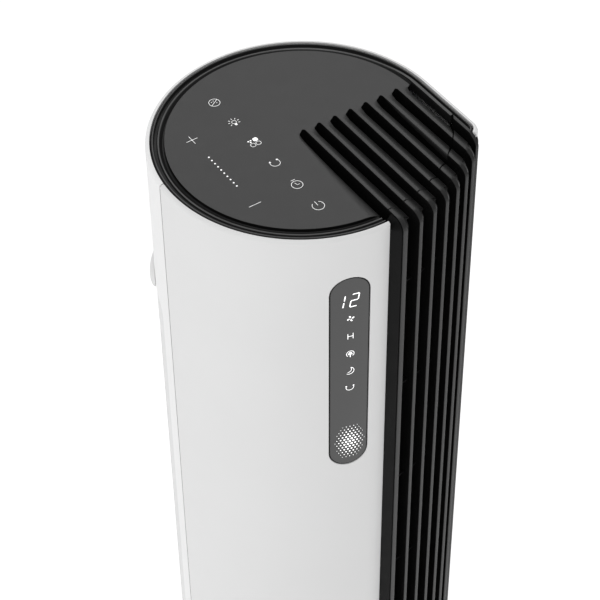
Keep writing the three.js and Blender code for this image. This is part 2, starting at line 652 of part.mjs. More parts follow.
function levelWindow() {
  return curvedWall(SHELL_INNER_R + 0.4, SHELL_R - 0.5, 57.8, 62.2, 90, 200, 2);
}

function alongY(r, x, y0, y1, z, sides) {
  return new THREE.CylinderGeometry(r, r, y1 - y0, sides).translate(x, (y0 + y1) / 2, z);
}

const VALVE_Z = 80;

function portSeal() {
  const outer = alongY(10.5, 0, SUMP_REAR_Y + FIT_GAP, -40, VALVE_Z, 20);
  return cut(outer, alongY(7.4, 0, -60, -20, VALVE_Z, 20));
}

function waterCircuit() {
  const unit = new THREE.Group();
  unit.add(part("water_tray", trough(836, 856), GREY));
  unit.add(part("drip_tray", trough(DECK_TOP + FIT_GAP, 296), GREY));
  unit.add(part("sump_tray", sumpTray(), GREY));
  unit.add(part("port_seal", portSeal(), RUBBER));
  unit.add(part("pump_body", pumpBody(), BLACK));
  unit.add(part("pump_impeller", pumpImpeller(), WHITE));
  unit.add(part("riser_hose", riserHose(), CLEAR));
  unit.add(part("float_bracket", floatBracket(), GREY));
  const pin = crossPin(1.5, FLOAT_X - 7.5, FLOAT_X + 7.5, FLOAT_PIVOT_Y, FLOAT_PIVOT_Z, 12);
  unit.add(part("float_pin", pin, STEEL));
  unit.add(part("float_arm", floatArm(), WHITE));
  unit.add(part("water_tank", waterTank(), CLEAR));
  unit.add(part("tank_front", tankFront(), WHITE));
  unit.add(part("level_window", levelWindow(), CLEAR));
  const valveFront = SUMP_REAR_Y + FIT_GAP;
  unit.add(part("tank_valve", alongY(7, 0, valveFront, TANK_FRONT_Y - FIT_GAP, VALVE_Z, 20), BRASS));
  return unit;
}

// ---- Intake door with the cooling pad ----
function rearDoor() {
  const from = DOOR_START_DEG + 0.2;
  const to = DOOR_END_DEG - 0.2;
  const bottom = DOOR_BOTTOM + SLIDE_GAP;
  const top = DOOR_TOP - SLIDE_GAP;
  const slab = curvedWall(SHELL_INNER_R, SHELL_R - 0.4, from, to, bottom, top, 20);
  const rows = 8;
  const margin = 24;
  const pitch = (top - bottom - 2 * margin) / rows;
  const windows = Array.from({ length: rows }, (_, i) => {
    const z = bottom + margin + i * pitch;
    return curvedWall(100, 140, from + 9, to - 9, z + 5, z + pitch - 5, 6);
  });
  const uprights = [52, 90, 128].map((angle) =>
    curvedWall(SHELL_INNER_R + 0.8, SHELL_R - 1.2, angle - 1, angle + 1, bottom + 5, top - 5, 1),
  );
  return join(cut(slab, ...windows), ...uprights);
}

// The lip along the door's top edge, which fingers pull on
function doorGrip() {
  const inner = SHELL_R + FIT_GAP;
  const start = [inner, DOOR_TOP - 12];
  const profile = [start, [126.6, 842], [127.8, 849], [126.8, 857], [inner, DOOR_TOP + 12], start];
  const wedge = prism([[0, 0], ...arc(200, 28, 152, 6)], 0, HEIGHT);
  return common(turned(profile, 60), wedge);
}

function padFrame() {
  const outerR = SHELL_INNER_R - FIT_GAP;
  const [from, to] = [PAD_START_DEG, PAD_END_DEG];
  const outer = curvedWall(PAD_INNER_R, outerR, from - 1, to + 1, PAD_BOTTOM, PAD_TOP, 14);
  const hollow = curvedWall(80, 140, from + 0.2, to - 0.2, PAD_BOTTOM + 3, PAD_TOP - 3, 10);
  return cut(outer, hollow);
}

function intakeDoor() {
  const unit = new THREE.Group();
  const padStart = PAD_START_DEG + 0.5;
  const padEnd = PAD_END_DEG - 0.5;
  const pad = curvedWall(PAD_INNER_R, PAD_OUTER_R, padStart, padEnd, PAD_BOTTOM + 3.3, PAD_TOP - 3.3, 14);
  unit.add(part("rear_door", rearDoor(), WHITE));
  unit.add(part("door_grip", doorGrip(), WHITE));
  unit.add(part("pad_frame", padFrame(), GREY));
  unit.add(part("cooling_pad", pad, FIBRE));
  return unit;
}

const cooler = new THREE.Group().add(swivelBase(), casing(), blower(), waterCircuit(), intakeDoor());

export default cooler;
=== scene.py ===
"""Looks of the tower evaporative cooler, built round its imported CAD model.
Shapes are worked out in millimetres, in the CAD frame, and stored in metres.
Angles are in degrees, anticlockwise from +X as seen from above. The cooler's front faces -Y."""

import math
from collections import Counter, namedtuple

import bpy
import numpy as np
from mathutils import Matrix, Vector
from mathutils.geometry import delaunay_2d_cdt


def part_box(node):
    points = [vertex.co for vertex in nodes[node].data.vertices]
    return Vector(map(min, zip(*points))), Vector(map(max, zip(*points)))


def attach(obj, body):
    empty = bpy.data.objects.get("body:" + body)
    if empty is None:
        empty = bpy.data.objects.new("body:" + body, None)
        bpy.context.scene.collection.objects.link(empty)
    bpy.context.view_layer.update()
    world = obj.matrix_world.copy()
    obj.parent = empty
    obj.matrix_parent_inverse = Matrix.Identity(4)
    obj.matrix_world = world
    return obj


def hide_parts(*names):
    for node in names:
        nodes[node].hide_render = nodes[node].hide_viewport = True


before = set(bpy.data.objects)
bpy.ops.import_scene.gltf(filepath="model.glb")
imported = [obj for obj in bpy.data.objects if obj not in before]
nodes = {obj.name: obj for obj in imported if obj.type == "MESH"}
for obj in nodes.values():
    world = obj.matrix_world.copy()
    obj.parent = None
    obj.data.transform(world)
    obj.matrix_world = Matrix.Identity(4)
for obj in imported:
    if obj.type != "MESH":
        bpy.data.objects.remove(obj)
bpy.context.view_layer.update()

MM = 0.001


# ---- Small helpers
def box_mm(node):
    """A CAD node's lowest and highest corners in millimetres."""
    low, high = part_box(node)
    return low / MM, high / MM


def heights(node):
    """A CAD node's lowest and highest z."""
    low, high = box_mm(node)
    return low.z, high.z


def placed(name, data):
    made = bpy.data.objects.new(name, data)
    bpy.context.scene.collection.objects.link(made)
    return made


def polar(r, deg, x=0.0, y=0.0):
    """The point at radius r and angle deg round (x, y)."""
    a = math.radians(deg)
    return x + r * math.cos(a), y + r * math.sin(a)


def steps(a, b, count):
    """Even values from a to b, both included."""
    return [a + (b - a) * i / count for i in range(count + 1)]


def unit(t):
    """t, kept between 0 and 1."""
    return min(max(t, 0.0), 1.0)


def eased(t):
    """Rises smoothly from 0 to 1."""
    t = unit(t)
    return t * t * (3 - 2 * t)


# ---- Sizes, read from the frame where it holds them
shell_low, shell_high = box_mm("rear_shell")
SHELL_BOTTOM, TOP = shell_low.z, shell_high.z
SHELL_R = max(-shell_low.x, shell_high.x)
WALL = 3.6
PANEL_R = -box_mm("top_cover")[0].x
PANEL_Z = TOP - 0.1
DOOR_LOW, DOOR_HIGH = heights("rear_door")
TANK_LOW, TANK_HIGH = heights("tank_front")
GRILLE_BOTTOM = heights("front_grille")[0]
SEAM_DEG = 174.0
SEAM_HALF_DEG = 0.26  # half of the gap between the two casings
FRONT_EDGE_DEG = 269.1
CORNER_R = 14.0  # the casing's right front corner
CORNER = (SHELL_R - CORNER_R, -63.6)
DISPLAY_DEG = 253.78
DISPLAY_WIDTH = 34.4
DISPLAY_GAP = 0.3
window_low, window_high = heights("display_window")
DISPLAY_LOW, DISPLAY_HIGH = window_low - DISPLAY_GAP, window_high + DISPLAY_GAP
GRILLE_CENTRE = (7.2, 14.4)
GRILLE_FACE_R = 144.3
GRILLE_JOINT_R = 123.6  # where the grille meets the touch panel's fingers
GRILLE_EDGE_R = 9.6  # rounding of the grille's top edge
BAR_COUNT = 7
BAR_FIRST_X = 6.6
BAR_PITCH = 15.12
BAR_FACE = 2.7  # width of a bar's front face
FIRST_BAR_FACE = 3.8
BAR_FACE_END = 4.15  # right edge of that face, from the bar's left side
BORDER_X = BAR_FIRST_X + BAR_COUNT * BAR_PITCH  # left side of the last bar


# ---- Materials
MOTTLE_SCALE, GLOSS_SCALE = 14, 60  # noise scales of the colour and of the gloss
BUMP_DEPTH = 0.0004


def linear(value):
    """A display value from 0 to 255 as linear light."""
    v = value / 255
    return v / 12.92 if v <= 0.04045 else ((v + 0.055) / 1.055) ** 2.4


def grey(value, tint=(1, 1, 1)):
    v = linear(value)
    return (v * tint[0], v * tint[1], v * tint[2], 1)


def material(name, colour, rough, metal=0.0, grain=(900, 0.05), mottle=0.05, specular=0.5,
             streaks=None, clear=0.0, glow=0.0, uneven=0.12):
    """A moulded, drawn or cast surface with mottled colour, uneven gloss and a fine bump. grain is the
    bump's scale and strength, and streaks stretches it. mottle and uneven are shares of colour and gloss."""
    made = bpy.data.materials.new(name)
    made.use_nodes = True
    tree = made.node_tree
    place = tree.nodes.new("ShaderNodeTexCoord").outputs["Object"]

    def fill(node, values):
        """Sets a node's inputs, or links those whose value is another node's output."""
        for key, value in values.items():
            if isinstance(value, bpy.types.NodeSocket):
                tree.links.new(value, node.inputs[key])
            else:
                node.inputs[key].default_value = value
        return node

    def add(kind, values):
        return fill(tree.nodes.new("ShaderNode" + kind), values)

    def noise(scale, detail, vector=place):
        return add("TexNoise", {"Scale": scale, "Detail": detail, "Vector": vector}).outputs["Fac"]

    def ranged(source, low, high):
        """Spreads the middle of a noise's range over low to high."""
        values = {"Value": source, "From Min": 0.35, "From Max": 0.65, "To Min": low, "To Max": high}
        return add("MapRange", values).outputs["Result"]

    def mixed(a, b, factor):
        node = add("Mix", {"Factor": factor})
        node.data_type = "RGBA"
        for socket, value in zip([i for i in node.inputs if i.type == "RGBA"], (a, b)):
            socket.default_value = value
        return [o for o in node.outputs if o.type == "RGBA"][0]

    dark, light = [[min(1.0, c * m) for c in colour[:3]] + [1] for m in (1 - mottle, 1 + mottle)]
    streaked = add("Mapping", {"Vector": place, "Scale": streaks}).outputs["Vector"] if streaks else place
    height = noise(grain[0], 2, streaked)
    bump = add("Bump", {"Strength": grain[1], "Distance": BUMP_DEPTH, "Height": height})
    shader = fill(tree.nodes["Principled BSDF"], {
        "Base Color": mixed(dark, light, ranged(noise(MOTTLE_SCALE, 4), 0, 1)),
        "Roughness": ranged(noise(GLOSS_SCALE, 5), rough * (1 - uneven), rough * (1 + uneven)),
        "Normal": bump.outputs["Normal"],
        "Metallic": metal,
        "Specular IOR Level": specular,
        "Transmission Weight": clear,
    })
    if glow:
        fill(shader, {"Emission Color": colour, "Emission Strength": glow})
    return made


def moulding(name, value, rough, scale, strength, specular, mottle=0.05, uneven=0.12):
    """A plastic or rubber of one grey, given as its display value."""
    return material(name, grey(value), rough, 0.0, (scale, strength), mottle, specular, uneven=uneven)


WHITE = moulding("white_moulding", 219, 0.45, 1400, 0.03, 0.3, mottle=0.006, uneven=0.05)
REAR_WHITE = moulding("rear_white_moulding", 232, 0.45, 1400, 0.03, 0.3, mottle=0.006, uneven=0.05)
PANEL = moulding("touch_panel_grey", 29, 0.34, 2600, 0.26, 0.42, mottle=0.03, uneven=0.03)
STRIPE = moulding("bar_face_grey", 31, 0.36, 2400, 0.18, 0.38, mottle=0.03, uneven=0.03)
# Slot walls, bar sides, ribs and the display frame: partly black plastic, and partly a darker, duller copy of
# the grey plastic that paints in the shade inside the slots and gaps
SLOT_BLACK_AND_SHADE = moulding("slot_black_and_shade", 12, 0.5, 1500, 0.10, 0.15)
# The grille's slanted border and bottom band: black plastic, with the darker, duller tone also standing in
# for the shade on the border: painted shade
BORDER_BLACK_AND_SHADE = moulding("border_black_and_shade", 10, 0.42, 1800, 0.12, 0.08)
# A duller copy of the rim's black for its grooves and walls that lie in shade, tuned to how they look there:
# painted shade
RIM_PAINTED_SHADE = moulding("rim_painted_shade", 26, 0.5, 1800, 0.10, 0.2)
RIM_BLACK = moulding("rim_black", 30, 0.36, 1800, 0.08, 0.6, mottle=0.04)
BLACK = moulding("inner_black", 22, 0.5, 1200, 0.15, 0.3, mottle=0.06)
SMOKED = moulding("smoked_window", 70, 0.2, 2400, 0.02, 0.4, mottle=0.02)
GREY = moulding("inner_grey", 150, 0.55, 1100, 0.15, 0.5)
STEEL = material("drawn_steel", grey(188), 0.32, 1.0, grain=(700, 0.25), streaks=(1, 1, 0.05))
ZINC = material("zinc_plate", grey(150, (0.97, 1, 1.03)), 0.45, 1.0, grain=(260, 0.3), mottle=0.14)
RUBBER = moulding("black_rubber", 34, 0.82, 1700, 0.4, 0.25, mottle=0.08)
BOARD = material("circuit_board", (0.015, 0.10, 0.045, 1), 0.42, grain=(500, 0.35), mottle=0.15)
CLEAR = material("clear_plastic", (0.80, 0.88, 0.92, 1), 0.10, grain=(300, 0.06), mottle=0.02, clear=0.85)
PAD = material("pad_paper", (0.60, 0.51, 0.36, 1), 0.9, grain=(900, 0.6), mottle=0.16, specular=0.15)
BRASS = material("turned_brass", (0.55, 0.38, 0.16, 1), 0.3, 1.0, grain=(900, 0.2), mottle=0.06)
LIT = material("lit_marks", grey(250), 0.5, grain=(900, 0.02), mottle=0.01, glow=0.9)
MARKS = material("panel_marks", grey(235), 0.5, grain=(900, 0.02), mottle=0.02, glow=0.6)


# ---- Mesh building
class Shape:
    """Vertices in millimetres, and faces with a material index and maybe corner normals."""

    def __init__(self):
        self.verts, self.faces, self.looks, self.normals = [], [], [], []

    def vertex(self, point):
        self.verts.append(tuple(point))
        return len(self.verts) - 1

    def face(self, corners, look=0, normals=None):
        self.faces.append(list(corners))
        self.looks.append(look)
        self.normals.append(normals)

    def loft(self, loops, look=0, look_of=None):
        """Joins closed loops of points, each with the same count, and caps both ends."""
        rows = [[self.vertex(p) for p in loop] for loop in loops]
        count = len(rows[0])
        for a, b in zip(rows, rows[1:]):
            for i in range(count):
                j = (i + 1) % count
                self.face([a[i], a[j], b[j], b[i]], look_of(i) if look_of else look)
        self.face(rows[0][::-1], look)
        self.face(rows[-1], look)

    def box(self, x0, x1, y0, y1, z0, z1, bevel=0.5):
        rows = ((bevel, z0), (0, z0 + bevel), (0, z1 - bevel), (bevel, z1))
        self.loft([[(*p, z) for p in rectangle(x0 + e, x1 - e, y0 + e, y1 - e)] for e, z in rows])

    def turned(self, profile, sides, x=0.0, y=0.0):
        """Turns a closed (radius, height) profile about an upright axis; radii of 0 make poles."""
        poles = {k: self.vertex((x, y, z)) for k, (r, z) in enumerate(profile) if r == 0}
        rows = []
        for deg in steps(0, 360, sides)[:-1]:
            points = [(*polar(r, deg, x, y), z) for r, z in profile]
            rows.append([poles[k] if k in poles else self.vertex(p) for k, p in enumerate(points)])
        for a, b in zip(rows, rows[1:] + rows[:1]):
            for k in range(len(profile) - 1 if poles else len(profile)):
                j = (k + 1) % len(profile)
                corners = [a[k], b[k], b[j], a[j]]
                unique = [c for n, c in enumerate(corners) if c not in corners[:n]]
                if len(unique) > 2:
                    self.face(unique)

    def finish(self, name, body, slot, materials, stands_for=(), sharp=32):
        """Makes the object. Without normals of its own, edges bent by over sharp degrees are creases."""
        mesh = bpy.data.meshes.new(name)
        mesh.from_pydata([(x * MM, y * MM, z * MM) for x, y, z in self.verts], [], self.faces)
        for look in materials:
            mesh.materials.append(look)
        mesh.polygons.foreach_set("material_index", self.looks)
        mesh.shade_smooth()
        if any(self.normals):
            corner_normals = []
            for face, normals in zip(self.faces, self.normals):
                corner_normals += normals or [(0, 0, 0)] * len(face)
            mesh.normals_split_custom_set(corner_normals)
        else:
            mesh.set_sharp_from_angle(angle=math.radians(sharp))
        mesh.validate()
        made = placed(name, mesh)
        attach(made, body)
        if stands_for:
            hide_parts(*stands_for)
        return made


def rectangle(u0, u1, v0, v1):
    return [(u0, v0), (u1, v0), (u1, v1), (u0, v1)]


def rounded(u0, u1, v0, v1, r, count=8):
    """A rectangle with round corners, anticlockwise."""
    corners = [(u1 - r, v1 - r, 0), (u0 + r, v1 - r, 90), (u0 + r, v0 + r, 180), (u1 - r, v0 + r, 270)]
    loop = []
    for cu, cv, start in corners:
        for deg in steps(start, start + 90, count):
            point = polar(r, deg, cu, cv)
            if not loop or math.dist(point, loop[-1]) > 1e-4:
                loop.append(point)
    if math.dist(loop[0], loop[-1]) < 1e-4:
        loop.pop()
    return loop


# ---- Sheets with rounded edges
FAR = 1e9  # deeper than any rounding


def inside(points, loops):
    """Which points lie inside an odd number of the closed loops."""
    x, y = np.array(points).T
    found = np.zeros(len(x), bool)
    for loop in loops:
        for (x0, y0), (x1, y1) in zip(loop, loop[1:] + loop[:1]):
            if y0 != y1:
                crosses = (y >= min(y0, y1)) & (y < max(y0, y1))
                found ^= crosses & (x < x0 + (y - y0) * (x1 - x0) / (y1 - y0))
    return found


def flat_mesh(loops, lines):
    """Points, and anticlockwise triangles that fill the loops and have edges along the lines."""
    coords, edges = [], []
    for line in loops + lines:
        first = len(coords)
        coords += [Vector(p) for p in line]
        edges += [(first + i, first + i + 1) for i in range(len(line) - 1)]
        if line in loops:
            edges.append((len(coords) - 1, first))
    points, _, triangles, *_ = delaunay_2d_cdt(coords, edges, [], 0, 1e-5)
    centres = [sum((points[i] for i in t), Vector((0, 0))) / 3 for t in triangles]
    kept = []
    for t, ok in zip(triangles, inside([tuple(c) for c in centres], loops)):
        a, b, c = (points[i] for i in t)
        turn = (b - a).cross(c - a)
        if ok and abs(turn) > 1e-9:
            kept.append(list(t) if turn > 0 else list(t)[::-1])
    return points, kept


def open_edges(triangles):
    """The edges that only one triangle has, in its direction."""
    edges = [(t[i], t[(i + 1) % 3]) for t in triangles for i in range(3)]
    uses = Counter(frozenset(edge) for edge in edges)
    return [edge for edge in edges if uses[frozenset(edge)] == 1]


def slab(shape, loops, lines, place, thickness, radius, wall_look=0, bends=7):
    """A sheet over a flat domain (u, v), cut to loops and bent by place(u, v, depth). lines are mesh lines
    where it bends. radius(u, v) is its edge rounding, which grows it outwards past its loops. thickness is
    a number or a function of (u, v). wall_look is the look of the back and of the walls."""
    points, kept = flat_mesh(loops, lines)
    rim = open_edges(kept)
    thick = thickness if callable(thickness) else (lambda u, v: thickness)

    def out(a, b):
        d = points[b] - points[a]
        return Vector((d.y, -d.x)).normalized()

    sides = {}  # for each rim point, the (outward direction, radius) of the edges before and after it
    for a, b in rim:
        middle = (points[a] + points[b]) / 2
        side = (out(a, b), radius(middle.x, middle.y))
        sides.setdefault(a, [None, None])[1] = side
        sides.setdefault(b, [None, None])[0] = side
    radii = sorted({round(side[1], 4) for pair in sides.values() for side in pair if side})
    falls = [1 - math.cos(math.pi / 2 * k / bends) for k in range(1, bends + 1)]
    depths = sorted({round(r * fall, 5) for r in radii for fall in falls})

    def reach(r, depth):
        return r if depth >= r else math.sqrt(r * r - (r - depth) ** 2)

    def shift(index, depth):
        """A rim point moved outwards by what both of its edges reach at a depth."""
        before, after = sides[index]
        (na, ra), (nb, rb) = before or after, after or before
        fa, fb = reach(ra, depth), reach(rb, depth)
        turn = na.cross(nb)
        if abs(turn) < 0.15:
            move = (na * fa + nb * fb) / 2
        else:
            move = Vector((fa * nb.y - fb * na.y, fb * na.x - fa * nb.x)) / turn
        p = points[index]
        return p.x + move.x, p.y + move.y

    def frame_at(u, v):
        """The surface's point, its two directions and its normal."""
        e = 0.01
        p = Vector(place(u, v, 0))
        du = (Vector(place(u + e, v, 0)) - Vector(place(u - e, v, 0))) / (2 * e)
        dv = (Vector(place(u, v + e, 0)) - Vector(place(u, v - e, 0))) / (2 * e)
        return p, du.normalized(), dv.normalized(), du.cross(dv).normalized()

    facing, top, bottom = {}, {}, {}
    for i in sorted({i for t in kept for i in t}):
        u, v = points[i]
        p, du, dv, n = frame_at(u, v)
        facing[i] = (du, dv, n)
        top[i] = shape.vertex(p)
        if i in sides:
            u, v = shift(i, FAR)
        bottom[i] = shape.vertex(place(u, v, thick(u, v)))
    for t in kept:
        shape.face([top[i] for i in t], 0, [facing[i][2] for i in t])
        shape.face([bottom[i] for i in t[::-1]], wall_look, [-facing[i][2] for i in t[::-1]])
    rings = {i: [top[i]] for i in sides}
    for depth in depths:
        for i in sides:
            rings[i].append(shape.vertex(place(*shift(i, depth), depth)))
    for i in sides:
        rings[i].append(bottom[i])
    levels = [0] + depths + [FAR]
    for a, b in rim:
        own = out(a, b)

        def side_normal(i, depth):
            before, after = sides[i]
            mean = own
            if before and after and before[0].dot(after[0]) > 0.8:
                mean = (before[0] + after[0]).normalized()
            du, dv, n = facing[i]
            flat = (du * mean.x + dv * mean.y).normalized()
            r = after[1] if after and after[0] == own else before[1]
            lean = max(0.0, 1 - depth / r) if r > 0 else 0.0
            return n * lean + flat * math.sqrt(1 - lean * lean)

        for k, (low, high) in enumerate(zip(levels, levels[1:])):
            corners = [rings[b][k], rings[a][k], rings[a][k + 1], rings[b][k + 1]]
            normals = [side_normal(b, low), side_normal(a, low), side_normal(a, high), side_normal(b, high)]
            shape.face(corners, 0 if k < len(depths) else wall_look, normals)


# ---- Plan lines and upright walls
Arc = namedtuple("Arc", "x y r start end")
Line = namedtuple("Line", "x0 y0 x1 y1")
COLUMN_STEP, ROW_STEP = 3.6, 70.0  # mesh spacing of the upright walls


class Plan:
    """Arcs and lines run anticlockwise; at(s) gives the point and its outward normal."""

    def __init__(self, *legs):
        self.legs, self.ends = legs, [0.0]
        for leg in legs:
            if isinstance(leg, Arc):
                span = leg.r * math.radians(leg.end - leg.start)
            else:
                span = math.dist(leg[:2], leg[2:])
            self.ends.append(self.ends[-1] + span)
        self.length = self.ends[-1]

    def at(self, s):
        k = 0
        while k < len(self.legs) - 1 and s > self.ends[k + 1]:
            k += 1
        leg, t = self.legs[k], s - self.ends[k]
        if isinstance(leg, Arc):
            a = math.radians(leg.start) + t / leg.r
            nx, ny = math.cos(a), math.sin(a)
            return leg.x + leg.r * nx, leg.y + leg.r * ny, nx, ny
        length = self.ends[k + 1] - self.ends[k]
        dx, dy = (leg.x1 - leg.x0) / length, (leg.y1 - leg.y0) / length
        return leg.x0 + dx * t, leg.y0 + dy * t, dy, -dx

    def on_arc(self, k, deg):
        """How far along the plan the angle deg of its leg k lies."""
        return self.ends[k] + self.legs[k].r * math.radians(deg - self.legs[k].start)

    def place(self, s, z, depth):
        x, y, nx, ny = self.at(s)
        return x - nx * depth, y - ny * depth, z

    def stations(self, step):
        """Distances along the plan, about step apart on its arcs."""
        found = []
        for leg, start, end in zip(self.legs, self.ends, self.ends[1:]):
            count = max(3, round((end - start) / step)) if isinstance(leg, Arc) else 1
            found += steps(start, end, count)[:-1]
        return found + [self.length]


def upright_wall(shape, plan, low, high, wall, holes, edge, lip=None, corner=0):
    """A curved upright wall, with its edges rounded by edge and its top edge by lip. Each hole is
    (s0, s1, z0, z1, corner radius), and corner is the corner radius of the wall's own outline."""
    lip = edge if lip is None else lip
    s0, s1, z0, z1 = edge, plan.length - edge, low + edge, high - lip
    outline = rounded(s0, s1, z0, z1, corner) if corner else rectangle(s0, s1, z0, z1)
    loops = [outline] + [rounded(a - edge, b + edge, c - edge, d + edge, r + edge) for a, b, c, d, r in holes]
    avoid = [s for a, b, *_ in holes for s in (a - edge, b + edge)] + [s0, s1]
    columns = [s for s in plan.stations(COLUMN_STEP) if s0 < s < s1 and all(abs(s - v) > 1 for v in avoid)]
    count = max(1, round((z1 - z0) / ROW_STEP))
    rows, short_rows = steps(z0, z1, count), steps(z0 + corner, z1 - corner, count)
    lines = [[(s, z) for z in (rows if s0 + corner < s < s1 - corner else short_rows)] for s in columns]

    def edge_radius(u, v):
        return lip if abs(v - z1) < 1e-3 else edge

    slab(shape, loops, lines, plan.place, wall, edge_radius)


def arc_band(shape, r0, r1, a0, a1, z0, z1, count, look, centre=GRILLE_CENTRE, bevel=0.3):
    """A bent bar with bevelled edges, between the radii r0 and r1 and the angles a0 and a1."""
    section = [(r0 + bevel, z0), (r1 - bevel, z0), (r1, z0 + bevel), (r1, z1 - bevel), (r1 - bevel, z1),
               (r0 + bevel, z1), (r0, z1 - bevel), (r0, z0 + bevel)]
    shape.loft([[(*polar(r, deg, *centre), z) for r, z in section] for deg in steps(a0, a1, count)], look)


# ---- Casing
CASING_EDGE, CASING_LIP = 0.4, 3.2  # rounding of the casing's edges, and of its top edge
EDGE_BEND_DEG, EDGE_BEND_R = 262.0, 46.0  # the casing turns in more tightly beside the grille
EDGE_REACH = 1.6  # how far its edge lies past FRONT_EDGE_DEG, and how much thinner it is there
bend_centre = polar(SHELL_R - EDGE_BEND_R, EDGE_BEND_DEG)
edge_x = polar(SHELL_R, FRONT_EDGE_DEG)[0] + EDGE_REACH
bend_end = 360 - math.degrees(math.acos((edge_x - bend_centre[0]) / EDGE_BEND_R))
front_plan = Plan(
    Arc(0, 0, SHELL_R, SEAM_DEG + SEAM_HALF_DEG, EDGE_BEND_DEG),
    Arc(*bend_centre, EDGE_BEND_R, EDGE_BEND_DEG, bend_end),
)
rear_plan = Plan(
    Arc(*CORNER, CORNER_R, -60, 0),
    Line(SHELL_R, CORNER[1], SHELL_R, 0),
    Arc(0, 0, SHELL_R, 0, SEAM_DEG - SEAM_HALF_DEG),
)


def front_wall(s, z):
    """The front casing's wall, which thins towards the grille."""
    t = unit((s - front_plan.ends[1]) / (front_plan.length - front_plan.ends[1]))
    return WALL - EDGE_REACH * t * t


display_s = front_plan.on_arc(0, DISPLAY_DEG)
display_hole = (display_s - DISPLAY_WIDTH / 2, display_s + DISPLAY_WIDTH / 2, DISPLAY_LOW, DISPLAY_HIGH,
                DISPLAY_WIDTH / 2 - 0.01)
casing = Shape()
upright_wall(casing, front_plan, SHELL_BOTTOM, TOP, front_wall, [display_hole], CASING_EDGE, CASING_LIP)
casing.finish("casing_front", "tower", "white_plastic", [WHITE], ["front_shell"])

doorway = (rear_plan.on_arc(2, 13.8), rear_plan.on_arc(2, 166.2), DOOR_LOW - 0.5, DOOR_HIGH + 0.5, 12)
tank_bay = (rear_plan.on_arc(2, 42), rear_plan.on_arc(2, 138), TANK_LOW - 0.4, TANK_HIGH + 0.4, 6)
casing = Shape()
upright_wall(casing, rear_plan, SHELL_BOTTOM, TOP, WALL, [doorway, tank_bay], CASING_EDGE, CASING_LIP)
casing.finish("casing_rear", "tower", "white_plastic", [REAR_WHITE], ["rear_shell"])

# A rubber strip behind the seam, as (depth, side) round its section
SEAL_HALF_DEG = 0.2
SEAL_SECTION = ((3.0, -1), (0.35, -1), (0.3, 0), (0.35, 1), (3.0, 1))
seal = Shape()
seal.loft([
    [(*polar(SHELL_R - depth, SEAM_DEG - SEAL_HALF_DEG * side), z) for depth, side in SEAL_SECTION]
    for z in (SHELL_BOTTOM + 3, TOP - 4)
])
seal.finish("seam_seal", "tower", "rubber", [RUBBER])


# ---- Touch panel with the slots' fingers
SLOT_LENGTH = 109  # from the slots' back ends, at y = 0, to the front of the panel
TOP_FLAT = 2.7  # flat part of a finger's upper face, left of its falling shoulder
SHOULDER_POWER = 1.25
FADE_ROWS = (4.2, 3, 2, 1, 0, -1.5, -3.2, -5.2)  # where the falls fade in behind the slots
SOFT_SHARES = (0.0, 0.15, 0.3, 0.45, 0.6, 0.72, 0.82, 0.9, 0.96)
SHOULDER_SHARES = (0.0, 0.08, 0.18, 0.3, 0.45, 0.6, 0.75, 0.9)


def bar_x(k):
    """Left side of finger and bar k."""
    return BAR_FIRST_X + k * BAR_PITCH


def joint_y(x, r=GRILLE_JOINT_R):
    """Front of the circle of radius r round the grille's centre."""
    return GRILLE_CENTRE[1] - math.sqrt(r * r - (x - GRILLE_CENTRE[0]) ** 2)


def along(y):
    """0 at the slots' back ends and 1 at the front of the panel."""
    return unit(-y / SLOT_LENGTH)


def soft_width(y):
    """Width of the fall beside the first slot."""
    return 3.0 + 9.5 * along(y)


def soft_drop(y):
    return (1.5 + 2.4 * along(y)) * eased((4 - y) / 9)


def bar_width(y):
    return 7.3 + 4.3 * along(y)


def bar_drop(y):
    return (2.0 + 3.8 * along(y)) * eased((3 - y) / 8)


def slot_left(y):
    """Left edge of the first slot."""
    return -0.5 - 0.8 * math.sin(math.pi * along(y))


def shoulder_x(k, share, y):
    """x at a share of the way across finger k's shoulder."""
    return bar_x(k) + TOP_FLAT + (bar_width(y) - TOP_FLAT) * share


def panel_drop(x, y):
    """How far the panel's upper face lies below its flat level."""
    if y > 4:
        return 0.0
    if x < 2:
        t = (x - slot_left(y)) / soft_width(y) + 1
        return soft_drop(y) * min(max(t, 0.0), 1.1) ** 2.0
    k = min(int((x - BAR_FIRST_X) / BAR_PITCH), BAR_COUNT - 1)
    t = (x - bar_x(k) - TOP_FLAT) / (bar_width(y) - TOP_FLAT)
    return bar_drop(y) * min(max(t, 0.0), 1.2) ** SHOULDER_POWER


def panel_thickness(x, y):
    """The fingers are deep, so that the slots' walls show."""
    in_slots = y < 6.5 and x > slot_left(y) - 0.6
    return 27.0 if in_slots else 5.9


def panel_edge(x, y):
    """Rounding of the panel's edges, larger where its fingers meet the grille."""
    r = math.hypot(x - GRILLE_CENTRE[0], y - GRILLE_CENTRE[1])
    return 0.5 if r > GRILLE_JOINT_R - 1.2 and x > 5 else 0.15


def finger_outline(k, corner_x, grow):
    """The back end of the slot left of finger k, from corner_x on, and the finger's own sides."""
    left, joint = bar_x(k) + grow, GRILLE_JOINT_R - 0.5
    loop = [(corner_x - 0.15, 0.2), (corner_x, 1.3), (corner_x + 0.6, 2.5), (left - 4.3, 4.3)]
    loop += [(left - 3.0, 5.3), (left - 2.0, 5.8), (left - 1.1, 5.8), (left - 0.4, 5.2), (left, 4.0)]
    loop += [(left, -20), (left, joint_y(left, joint)), (left + TOP_FLAT, joint_y(left + TOP_FLAT, joint))]
    end_y = joint_y(bar_x(k) + bar_width(-SLOT_LENGTH) - grow, joint)
    right_rows = [end_y] + [y for y in (-40, -20, -4) if y > end_y + 5]
    return loop + [(bar_x(k) + bar_width(y) - grow, y) for y in right_rows]


